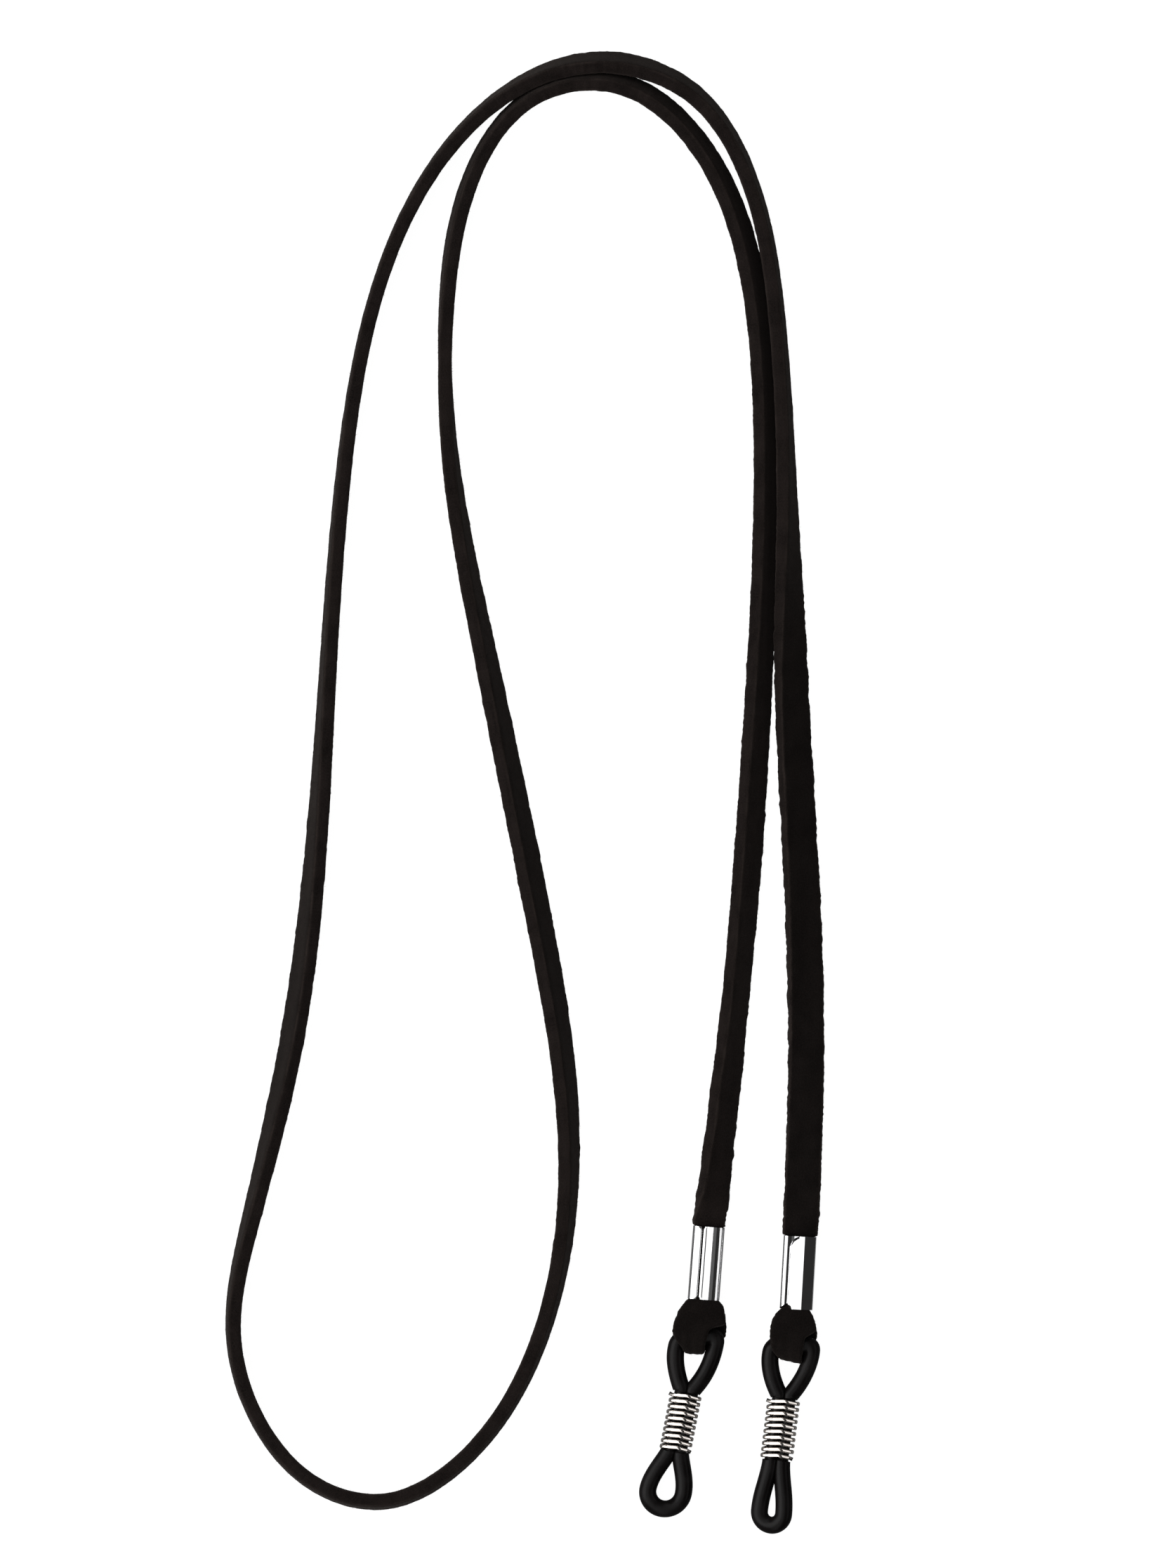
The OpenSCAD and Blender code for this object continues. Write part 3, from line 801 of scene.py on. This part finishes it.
# Crimps: sheet metal rolled round the folded lace. The left one's edges meet, the right one's lap.
crimp = {
    "wall": 0.28 * mm,
    "arcSteps": 10,              # of its section
    "flatCuts": (18,),
    "lip": 0.12 * mm,            # radius at which an edge turns in
    "lipSteps": 6,
    "lipDepth": 0.06 * mm,
    "gap": 0.16 * mm,
    "clear": 0.02 * mm,          # least distance between a seam's points and the next ones
    "endRows": [0.07 * mm, 0.15 * mm, 0.24 * mm, 0.35 * mm, 0.6 * mm, 1.0 * mm],
    "middleRows": 8,
    "bevel": 0.07 * mm,
    "bevelAngle": 50,            # degrees, above which an edge is bevelled
    "dent": 0.006 * mm,
    "dentScale": 0.55,           # per mm
    # corners in mm: x, height and radius, anticlockwise from the upper right
    "left": {
        "corners": [
            (1.8, 1.165, 0.62), (0.96, 1.65, 2.2), (-1.8, 1.65, 0.7),
            (-1.8, -1.65, 1.1), (1.8, -1.65, 1.1)],
        "seam": -0.66 * mm,
        "crease": -0.16 * mm,
        "creaseWidth": 0.14 * mm,
        "creaseDepth": 0.022 * mm,
        "creaseClear": 1.3,      # half-widths of sheet that make room for it
        "upper": 0.7 * mm,       # the edges lie above this
        "notch": 0.35 * mm,      # length over which the edges part at each end
        "notchReach": 0.9 * mm,  # from the seam
        "notchPower": 1.3,
        "notchSpread": 0.09 * mm,
        "notchDip": 0.12 * mm,
    },
    "right": {
        "corners": [
            (1.86, 1.228, 0.1), (0.56, 1.65, 0.2), (-1.0, 1.65, 0.01), (-1.0, 1.5, 0.01),
            (-1.86, 1.5, 0.5), (-1.86, -1.65, 1.1), (1.86, -1.65, 1.1)],
        "seam": -1.0 * mm,
        # the lower edge under the upper one, in mm from the seam and below its own flat
        "lap": [(0.9, 0.18), (0.4, 0.18), (0.12, 0.16), (-0.12, 0.085), (-0.28, 0.03), (-0.36, 0.005)],
        "upper": 1.44 * mm,      # the upper edge lies above this
        "roundBelow": 0.5 * mm,  # corners of the upper edge
        "roundAbove": 1.1 * mm,
        "curl": 0.32 * mm,       # by which those corners turn down
        "curlReach": 0.25 * mm,  # from their round edge inwards
        "curlFade": 2.5,         # how soon it is full inside a corner
        "seamSlack": 0.05 * mm,
        "lower": 1.0 * mm,       # the lower edge lies above this, and within it of the seam
        "shortBelow": 0.65 * mm,  # by which the lower edge ends short of the upper one
        "shortReach": 1.2 * mm,
    },
}


def turnedEdge(level, seam, sign, reach):  # from the flat sheet down to the tip
    lip = crimp["lip"]
    turn = [
        Vector((seam + sign * (reach - lip * math.sin(a)), level - lip * (1 - math.cos(a))))
        for a in quarterTurn(crimp["lipSteps"])]
    return turn + [turn[-1] - Vector((0, crimp["lipDepth"]))]


def creasedTop(points, own):  # presses a groove into the top
    deep, wide, middle = own["creaseDepth"], own["creaseWidth"], own["crease"]
    kept = [p for p in points if p.y < 0 or abs(p.x - middle) > own["creaseClear"] * wide]
    shares = (-1, -0.5, 0, 0.5, 1)
    groove = [Vector((middle - wide * k, kept[-1].y - deep * (1 - k * k))) for k in shares]
    after = next(i for i in range(len(kept) - 1, 0, -1) if kept[i].x > middle)
    return kept[:after + 1] + groove + kept[after + 1:]


def crimpProfile(side):  # open section of the sheet's outside, from one edge to the other
    own = crimp[side]
    seam, lapped, clear = own["seam"], "lap" in own, crimp["clear"]
    outline = [p * mm for p in roundedOutline(own["corners"], crimp["arcSteps"], crimp["flatCuts"])]
    first = next(i for i, p in enumerate(outline) if p.y > 0 and p.x < seam - clear)
    outline = outline[first:] + outline[:first]
    reach = crimp["lip"] + (0 if lapped else crimp["gap"] / 2)
    kept = [p for p in outline if p.y < 0 or abs(p.x - seam) > reach + clear]
    if lapped:
        lapEnd = own["lap"][-1][0] * mm - clear
        kept = [p for p in kept if p.y < 0 or not lapEnd < p.x - seam < 0]
        lower = [Vector((seam + x * mm, kept[0].y - drop * mm)) for x, drop in own["lap"]]
    else:
        kept = creasedTop(kept, own)
        lower = turnedEdge(kept[0].y, seam, -1, reach)[::-1]
    return lower + kept + turnedEdge(kept[-1].y, seam, 1, reach)


def partedEnds(point, own):  # opens the ends of edges that meet
    off = point.x - own["seam"]
    fromEnd = min(point.y, crimpLength - point.y)
    if point.z > own["upper"] and abs(off) < own["notchReach"]:
        part = max(0, 1 - fromEnd / own["notch"]) ** own["notchPower"]
        part *= 1 - abs(off) / own["notchReach"]
        point.x += math.copysign(own["notchSpread"] * part, off)
        point.z -= own["notchDip"] * part


def lappedEnds(point, own):  # rounds the corners of an upper edge and shortens the lower one
    off = point.x - own["seam"]
    if point.z < own["upper"] or off < -own["seamSlack"]:
        lower = point.z > own["lower"] and off < own["lower"]
        short = own["shortBelow"] * ease(1 + off / own["shortReach"]) * lower
        point.y = mix(short, crimpLength, point.y / crimpLength)
        return
    off = max(off, 0)
    cut = [r - math.sqrt(r * r - max(r - off, 0) ** 2) for r in (own["roundBelow"], own["roundAbove"])]
    point.y = mix(cut[0], crimpLength - cut[1], point.y / crimpLength)
    for r, fromEnd in ((own["roundBelow"], point.y), (own["roundAbove"], crimpLength - point.y)):
        inRound = ease(own["curlFade"] * (1 - off / r)) * ease(own["curlFade"] * (1 - fromEnd / r))
        fromEdge = max(0, r - math.hypot(r - off, r - fromEnd))
        point.z -= own["curl"] * max(0, 1 - fromEdge / own["curlReach"]) * inRound


def crimpRows():  # places along the crimp, close together at its ends
    near, count = crimp["endRows"], crimp["middleRows"]
    middle = [mix(near[-1], crimpLength - near[-1], k / count) for k in range(1, count)]
    return [0] + near + middle + [crimpLength - y for y in near[::-1]] + [crimpLength]


def makeCrimp(side):
    profile = crimpProfile(side)
    deselectAll()
    bpy.ops.mesh.primitive_plane_add(size=mm, location=(0, 0, 0))
    piece = bpy.context.object
    piece.name = piece.data.name = side + "_rolled_crimp"
    editMode(piece)
    bpy.ops.mesh.select_all(action="SELECT")
    bpy.ops.mesh.merge(type="CENTER")
    bpy.ops.transform.translate(value=(profile[0].x, 0, profile[0].y))
    for a, b in zip(profile[:-1], profile[1:]):
        move = b - a
        bpy.ops.mesh.extrude_region_move(TRANSFORM_OT_translate={"value": (move.x, 0, move.y)})
    bpy.ops.mesh.select_all(action="SELECT")
    rows = crimpRows()
    for a, b in zip(rows[:-1], rows[1:]):
        bpy.ops.mesh.extrude_region_move(TRANSFORM_OT_translate={"value": (0, b - a, 0)})
    objectMode()
    shapeEnd = lappedEnds if "lap" in crimp[side] else partedEnds
    for point in piece.data.vertices:
        shapeEnd(point.co, crimp[side])
    normalsOut(piece)
    outward = sum(p.normal.dot(Vector((p.center.x, 0, p.center.z))) for p in piece.data.polygons)
    if outward < 0:
        piece.data.flip_normals()
    applyModifier(piece, "SOLIDIFY", thickness=crimp["wall"], offset=-1, use_even_offset=True)
    applyModifier(
        piece, "BEVEL", width=crimp["bevel"], segments=2, limit_method="ANGLE",
        angle_limit=math.radians(crimp["bevelAngle"]))
    applyModifier(piece, "SUBSURF", levels=1, render_levels=1)
    normals = [point.normal.copy() for point in piece.data.vertices]
    apart = Vector((len(side), 0, 0))  # so that the two are dented differently
    for point, normal in zip(piece.data.vertices, normals):
        dent = noise.noise(point.co / mm * crimp["dentScale"] + apart)
        point.co += normal * crimp["dent"] * dent
    piece.data.transform(ends[side]["crimp"])
    smooth(piece)
    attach(piece, "strap")
    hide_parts(side + "_crimp")
    return piece


chromeLook = {
    "bright": (0.90, 0.90, 0.91, 1),
    "tarnished": (0.70, 0.68, 0.65, 1),
    "tarnish": 420,              # noises, per metre
    "haze": 700,
    "scratches": 9000,
    "scratchLay": (1, 0.06, 1),  # drawn out along the crimp
    "tarnishRange": (0.58, 0.8),
    "tarnishShare": 0.5,
    "roughness": 0.04,
    "hazeRoughness": 0.05,       # added by the haze and by the scratches
    "scratchRoughness": 0.03,
    "bump": (0.06, 0.01 * mm),   # strength and depth
}


def chromeMaterial():
    g, look = Graph("bright_chrome"), chromeLook
    place = g.place()
    haze = g.noise(place, look["haze"])
    scratches = g.noise(g.scaled(place, look["scratchLay"]), look["scratches"])
    tarnish = g.ramp(g.noise(place, look["tarnish"], 3), *look["tarnishRange"])
    rough = look["roughness"] + look["hazeRoughness"] * haze + look["scratchRoughness"] * scratches
    return g.surface({
        "Base Color": g.blend(look["bright"], look["tarnished"], tarnish * look["tarnishShare"]),
        "Metallic": 1.0,
        "Roughness": rough,
        "Normal": g.bump(scratches, *look["bump"]),
    })


chrome = chromeMaterial()
for side in ("left", "right"):
    makeCrimp(side).data.materials.append(chrome)
print("crimps rolled")


# Rubber rings: a round cord bent over the bar, pinched by the coil and opened into an eye.
ring = {
    "radius": 0.98 * mm,
    "bend": 1.0 * mm,            # radius of the cord's middle where the bar turns into a leg
    "legRun": 0.3 * mm,
    "pinchedHalf": 0.66 * mm,    # from the middle to a pinched leg
    "pinchedWide": 0.70 * mm,
    "pinchedHigh": 0.90 * mm,
    "pinchedDrop": 0.12 * mm,    # of the right leg, which the strands bear down on
    "pressedHalf": 0.62 * mm,    # from the middle to a leg pressed against the other
    "pressedFace": -0.01 * mm,   # where a pressed leg's flat face lies from the middle
    "swell": 0.15 * mm,
    "tiltReach": 5.5 * mm,
    "legJoin": 0.4 * mm,         # distance above the coil at which the legs are together
    "sides": 24,
    "barSteps": 4,               # steps along half a ring, from the bar to the eye's tip
    "bendSteps": 14,
    "legSteps": 109,
    "eyeSteps": 99,
    "tipSteps": 18,
    # tilts are the bar's slopes at its left and right, shifts are sideways at the bar and at the
    # coil, and closing and opening say how late the legs come together and part
    "left": {
        "barHalf": 1.15 * mm, "coilTop": 6.65 * mm, "coilLength": 6.7 * mm, "eyeGap": 2.1 * mm,
        "eyeLength": 7.8 * mm, "twist": 0, "lean": -2, "tilts": (0.2, 0.2), "barShift": 0.16 * mm,
        "coilShift": 0.12 * mm, "closing": 2, "opening": 0.7,
    },
    "right": {
        "barHalf": 1.3 * mm, "coilTop": 6.1 * mm, "coilLength": 6.9 * mm, "eyeGap": 0.95 * mm,
        "eyeLength": 8.6 * mm, "twist": 18, "lean": 1.7, "tilts": (0.02, 0.2), "barShift": 0.05 * mm,
        "coilShift": -0.12 * mm, "closing": 1.75, "opening": 1,
    },
}
for own in (ring["left"], ring["right"]):  # distances below the bar
    own["coilEnd"] = own["coilTop"] + own["coilLength"]
    own["coilMiddle"] = own["coilTop"] + own["coilLength"] / 2
    own["eyeHalf"] = own["eyeGap"] / 2 + ring["radius"]
    own["tip"] = own["coilEnd"] + own["eyeLength"] - ring["radius"]
    own["eyeMiddle"] = own["tip"] - own["eyeHalf"]


def pinched(own, d):
    return ease(1 - max(own["coilTop"] - d, d - own["coilEnd"]) / ring["swell"])


def legPlace(own, d):  # distance of a leg from the ring's middle line
    pressed = mix(ring["pressedHalf"], ring["pinchedHalf"], pinched(own, d))
    if d > own["coilMiddle"]:
        opening = ease((d - own["coilEnd"]) / (own["eyeMiddle"] - own["coilEnd"])) ** own["opening"]
        return mix(pressed, own["eyeHalf"], opening)
    legEnd = ring["bend"] + ring["legRun"]
    closing = (d - legEnd) / (own["coilTop"] - ring["legJoin"] - legEnd)
    closing = min(max(closing, 0), 1) ** own["closing"]
    return mix(own["barHalf"] + ring["bend"], pressed, closing)


def upperHalf(own):  # from the middle of the bar down one leg to the middle of the coil
    steps = ring["barSteps"]
    bar = [Vector((own["barHalf"] * k / steps, 0)) for k in range(steps + 1)]
    turn = [
        Vector((own["barHalf"] + ring["bend"] * math.sin(a), ring["bend"] * (1 - math.cos(a))))
        for a in quarterTurn(ring["bendSteps"])]
    depths = np.linspace(ring["bend"], own["coilMiddle"], ring["legSteps"] + 1)[1:]
    return bar + turn + [Vector((legPlace(own, d), d)) for d in depths]


def lowerHalf(own):  # from the middle of the coil down one leg to the eye's tip
    depths = np.linspace(own["coilMiddle"], own["eyeMiddle"], ring["eyeSteps"] + 1)
    legs = [Vector((legPlace(own, d), d)) for d in depths]
    turn = [
        Vector((own["eyeHalf"] * math.cos(a), own["eyeMiddle"] + own["eyeHalf"] * math.sin(a)))
        for a in quarterTurn(ring["tipSteps"])]
    turn[-1].x = 0
    return legs + turn


def mirrored(half):  # the other leg, run the other way
    return [Vector((-p.x, p.y)) for p in reversed(half)]


def hung(own, place):  # moves a point of the even ring to where the hanging ring has it
    d = -place.y
    shift = mix(own["barShift"], own["coilShift"], ease(d / own["coilTop"]))
    shift += max(0, d - own["coilEnd"]) * math.tan(math.radians(own["lean"]))
    rise = own["tilts"][place.x > 0] * place.x * (1 - ease(d / ring["tiltReach"]))
    return place + Vector((shift, rise, 0))


def ringPiece(name, side, path):
    own = ring[side]
    rings = []
    for i, p in enumerate(path):
        run = ahead(path, i).normalized()
        wide = mix(ring["radius"], ring["pinchedWide"], pinched(own, p.y))
        high = mix(ring["radius"], ring["pinchedHigh"], pinched(own, p.y))
        twist = own["twist"] * ease((p.y - own["coilEnd"]) / (own["eyeMiddle"] - own["coilEnd"]))
        turn = Matrix.Rotation(-math.radians(twist), 4, "Y")
        leg = ring["bend"] * 2 < p.y < own["eyeMiddle"]
        section = []
        for k in range(ring["sides"]):
            a = math.tau * k / ring["sides"]
            inPlane = wide * math.cos(a)
            x = p.x + run.y * inPlane
            if leg:  # the legs flatten where they press on each other
                hand = math.copysign(1, p.x)
                x = hand * max(hand * x, ring["pressedFace"])
            place = Vector((x, run.x * inPlane - p.y, high * math.sin(a)))
            if p.x > 0:
                place.z -= ring["pinchedDrop"] * pinched(own, p.y)
            section.append(ends[side]["loop"] @ hung(own, turn @ place))
        rings.append(section)
    piece = skin(name, rings)
    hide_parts(side + "_rubber_loop")
    return piece


def onLoop(side, d):  # a point on the ring's middle line
    return ends[side]["loop"] @ Vector((0, -d, 0))


def makeRing(side):
    own = ring[side]
    upper, lower = upperHalf(own), lowerHalf(own)
    top = ringPiece(side + "_ring_upper", side, mirrored(upper)[:-1] + upper)
    eye = ringPiece(side + "_ring_eye", side, lower + mirrored(lower)[1:])
    onLoop(side, ring["bend"])
    onLoop(side, own["coilTop"])
    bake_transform(top)
    onLoop(side, own["tip"])
    onLoop(side, own["coilEnd"])
    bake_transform(eye)
    return top, eye


rubberLook = {
    "black": (0.0028, 0.0022, 0.0022, 1),
    "bloomed": (0.0068, 0.006, 0.006, 1),
    "bloom": 380,                # noises, per metre
    "grain": 7000,
    "bloomRange": (0.42, 0.75),
    "roughness": 0.25,
    "bloomRoughness": 0.12,      # added by the bloom and by the grain
    "grainRoughness": 0.08,
    "specular": 0.09,
    "bump": (0.18, 0.02 * mm),   # strength and depth
}


def rubberMaterial():
    g, look = Graph("black_rubber"), rubberLook
    place = g.place()
    bloom = g.ramp(g.noise(place, look["bloom"], 3), *look["bloomRange"])
    grain = g.noise(place, look["grain"])
    rough = look["roughness"] + look["bloomRoughness"] * bloom + look["grainRoughness"] * grain
    return g.surface({
        "Base Color": g.blend(look["black"], look["bloomed"], bloom),
        "Roughness": rough,
        "Specular IOR Level": look["specular"],
        "Normal": g.bump(grain, *look["bump"]),
    })


rubber = rubberMaterial()
for side in ("left", "right"):
    for half in makeRing(side):
        half.data.materials.append(rubber)
print("rubber rings bent")


# Wire coils: an oval winding that follows the two legs it pinches, with straight cut ends.
coil = {
    "wire": 0.41 * mm,
    "wireCorner": 0.15 * mm,     # the wire is drawn a little square
    "wireSteps": 4,
    "wireCuts": (2,),
    "crossings": 10,             # strands across the front
    "cutAt": 30,                 # degrees from the side at which a cut end leaves the winding
    "stub": 0.4 * mm,
    "stubDrop": 0.12 * mm,       # along the coil
    "stubLift": 0.02 * mm,
    "paintedEndShade": 0.3 * mm,            # painted shade: dark length at a cut end
    "paintedEndShadeFade": 3,               # how suddenly it begins
    "perTurn": 48,
    "halfHeight": 1.14,          # in mm, to the wire's middle
    "ridge": 0.35,               # where the front strands bend down to the right
    "slope": 28,                 # degrees, beyond the ridge
    "frontCorner": 0.35,         # radii of a turn's corners, in mm
    "sideCorner": 0.45,
    "inset": 0.6,                # of its flats from its sides, in mm
    "sideHalf": 0.7,             # half of a straight side, in mm
    "arcSteps": 8,
    "flatCuts": (10,),
    # a front strand's height along the coil in mm, by its share of the way across
    "strand": [(0, 0), (0.1, 0.09), (0.55, 0.27), (0.63, 0.2), (1, 0.05)],
    "left": {"halfWidth": 1.62},
    "right": {"halfWidth": 1.67},
}


def coilSection(side):  # one turn seen along the ring, from the left side over the front
    wide, high, ridge = coil[side]["halfWidth"], coil["halfHeight"], coil["ridge"]
    shoulder = high - (wide - ridge) * math.tan(math.radians(coil["slope"]))
    inset, low, front, r = (coil[key] for key in ("inset", "sideHalf", "frontCorner", "sideCorner"))
    corners = [
        (wide, shoulder, front), (ridge, high, front), (inset - wide, high, r), (-wide, low, r),
        (-wide, -low, r), (inset - wide, -high, r), (wide - inset, -high, r), (wide, -low, r)]
    outline = [p * mm for p in roundedOutline(corners, coil["arcSteps"], coil["flatCuts"])]
    start = outline.index(min(outline, key=lambda p: (p.x > 0, abs(p.y))))
    turn = (outline[start:] + outline[:start])[::-1]
    return [turn[-1]] + turn


def coilPath(side):  # from the upper left end to the lower right end
    own = ring[side]
    section = coilSection(side)
    lengths = [0.0]
    for a, b in zip(section[:-1], section[1:]):
        lengths.append(lengths[-1] + (b - a).length)
    sweep = 360 * (coil["crossings"] - 1) + 180 - 2 * coil["cutAt"]
    rise = max(height for _, height in coil["strand"]) * mm
    pitch = (own["coilLength"] - coil["wire"] - rise) / (coil["crossings"] - 1)
    steps = round(sweep / 360 * coil["perTurn"])
    path = []
    for k in range(steps + 1):
        turned = coil["cutAt"] + sweep * k / steps     # from the left side over the front
        turn, part = divmod(turned, 360)
        at = part / 360 * lengths[-1]
        x, z = (np.interp(at, lengths, [p[i] for p in section]) for i in (0, 1))
        across = (x / mm / coil[side]["halfWidth"] + 1) / 2
        lift = between(coil["strand"], across)[0] * mm
        if part > 180:           # a back strand goes down to the next turn
            lift -= pitch * (1 - across)
        y = -own["coilTop"] - coil["wire"] / 2 - rise - pitch * turn + lift
        path.append(hung(own, Vector((x, y, z))))
    first = path[0] + Vector((-coil["stub"], coil["stubDrop"], coil["stubLift"]))
    last = path[-1] + Vector((coil["stub"], -coil["stubDrop"], coil["stubLift"]))
    return [first] + path + [last]


def makeCoil(side):
    path = coilPath(side)
    half = coil["wire"] / 2
    outline = roundedBox(half, half, coil["wireCorner"], coil["wireSteps"], coil["wireCuts"])
    rings = []
    for i, place in enumerate(path):
        run = ahead(path, i).normalized()
        out = Vector((-run.z, 0, run.x))
        out = (out - run * out.dot(run)).normalized()
        along = run.cross(out)
        rings.append([place + out * q.x + along * q.y for q in outline])
    piece = skin(side + "_wire_coil", rings)
    # the cut ends are darkened as painted shade
    paintedEndShade = piece.data.attributes.new("paintedEndShadeMask", "FLOAT", "POINT")
    for point in piece.data.vertices:
        fromEnd = min((point.co - path[0]).length, (point.co - path[-1]).length)
        share = (coil["paintedEndShade"] + half - fromEnd) / coil["paintedEndShade"] * coil["paintedEndShadeFade"]
        paintedEndShade.data[point.index].value = ease(share)
    piece.data.transform(ends[side]["loop"])
    smooth(piece)
    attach(piece, side + "_coil")
    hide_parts(side + "_coil")
    return piece


nickelLook = {
    "plated": (0.91, 0.85, 0.80, 1),
    "dulled": (0.70, 0.62, 0.55, 1),
    # painted shade at the wire's cut ends
    "paintedEndShade": (0.035, 0.032, 0.03, 1),
    "dull": 600,                 # noises, per metre
    "drawn": 3000,
    "dullRange": (0.5, 0.85),
    "dullShare": 0.6,
    "roughness": 0.09,
    "dullRoughness": 0.06,       # added by the dull patches, the drawing marks and the painted shade at the ends
    "drawnRoughness": 0.04,
    "paintedEndShadeRoughness": 0.2,
    "bump": (0.02, 0.01 * mm),   # strength and depth
}


def nickelMaterial():
    g, look = Graph("nickel_wire"), nickelLook
    place = g.place()
    drawn = g.noise(place, look["drawn"])
    dull = g.ramp(g.noise(place, look["dull"], 3), *look["dullRange"])
    paintedEndShade = g.attribute("paintedEndShadeMask")
    plated = g.blend(look["plated"], look["dulled"], dull * look["dullShare"])
    rough = look["roughness"] + look["dullRoughness"] * dull + look["drawnRoughness"] * drawn
    return g.surface({
        # painted shade darkens the cut ends
        "Base Color": g.blend(plated, look["paintedEndShade"], paintedEndShade),
        "Metallic": 1.0,
        "Roughness": rough + look["paintedEndShadeRoughness"] * paintedEndShade,
        "Normal": g.bump(drawn, *look["bump"]),
    })


nickel = nickelMaterial()
for side in ("left", "right"):
    makeCoil(side).data.materials.append(nickel)
print("coils wound")


# Studio: a white table with a white surround, which shows painted shade in reflections, and light boxes
# above, on the left and on the right.
studio = {
    "tableRadius": 4.0,          # metres
    "tableSides": 96,
    "surround": 1.3,             # metres high
    "below": 0.02 * mm,          # the table, so that nothing shares its plane
    "litWhite": (0.92, 0.92, 0.92, 1),
    "plainWhite": (1, 1, 1, 1),
    "plainStrength": 1.08,
    "whiteShare": 0.9,           # of the table's plain white, the rest is lit and keeps the shadow
    "glossShare": 0.85,          # of the painted shade below, in what the metal and the rubber mirror
    "mirrored": (0.03, 0.03, 0.03, 1),
    "room": (0.024, 0.0235, 0.023, 1),
    # place and size in metres and radiance of each light box, which faces the middle
    "boxes": {
        "overhead": ((-0.157, 0.07, 0.7), (0.53, 7.0), 1.35),
        "leftSide": ((-1.15, 0.07, 0.95), (1.1, 1.6), 3.8),
        "leftLow": ((-1.4, 0.07, 0.27), (0.45, 1.6), 1.2),
        "rightSide": ((1.16, 0.07, 0.74), (0.42, 1.6), 1.0),
        "dimRight": ((0.42, 0.07, 1.3), (0.5, 4.2), 0.08),
    },
}


def makeTable():
    deselectAll()
    bpy.ops.mesh.primitive_circle_add(
        vertices=studio["tableSides"], radius=studio["tableRadius"], fill_type="NGON",
        location=(0, 0, -studio["below"]))
    table = bpy.context.object
    table.name = "table"
    bpy.ops.object.transform_apply(location=True)
    editMode(table, "EDGE")
    bpy.ops.mesh.select_all(action="SELECT")
    bpy.ops.mesh.region_to_loop()
    bpy.ops.mesh.extrude_region_move(TRANSFORM_OT_translate={"value": (0, 0, studio["surround"])})
    objectMode()
    g = Graph("white_table")
    seen = g.node("ShaderNodeLightPath", {}, {}, "Is Camera Ray")
    gloss = g.node("ShaderNodeLightPath", {}, {}, "Is Glossy Ray")
    # glossy rays see a dark tone, a painted reflection of shade, in place of the white table
    white = g.blend(studio["mirrored"], studio["plainWhite"], seen)
    lit = g.node("ShaderNodeBsdfDiffuse", {}, {"Color": studio["litWhite"]})
    plain = g.node("ShaderNodeEmission", {}, {"Color": white, "Strength": studio["plainStrength"]})
    share = seen * studio["whiteShare"] + gloss * studio["glossShare"]
    shown = g.node("ShaderNodeMixShader", {}, {0: share, 1: lit, 2: plain})
    g.node("ShaderNodeOutputMaterial", {}, {"Surface": shown})
    table.data.materials.append(g.material)


def makeBoxes():
    for name, (place, size, radiance) in studio["boxes"].items():
        deselectAll()
        bpy.ops.object.light_add(type="AREA", location=place)
        box = bpy.context.object
        box.name = name
        box.data.shape = "RECTANGLE"
        box.data.size, box.data.size_y = size
        box.data.energy = radiance * math.pi * size[0] * size[1]
        box.rotation_euler = (0, math.atan2(place[0], place[2]), 0)
        box.visible_camera = False


def makeRoom():
    room = bpy.data.worlds.new("dim_room")
    room.use_nodes = True
    room.node_tree.nodes["Background"].inputs["Color"].default_value = studio["room"]
    bpy.context.scene.world = room


makeTable()
makeBoxes()
makeRoom()
bpy.context.scene.view_settings.view_transform = "Standard"
print("studio lit")
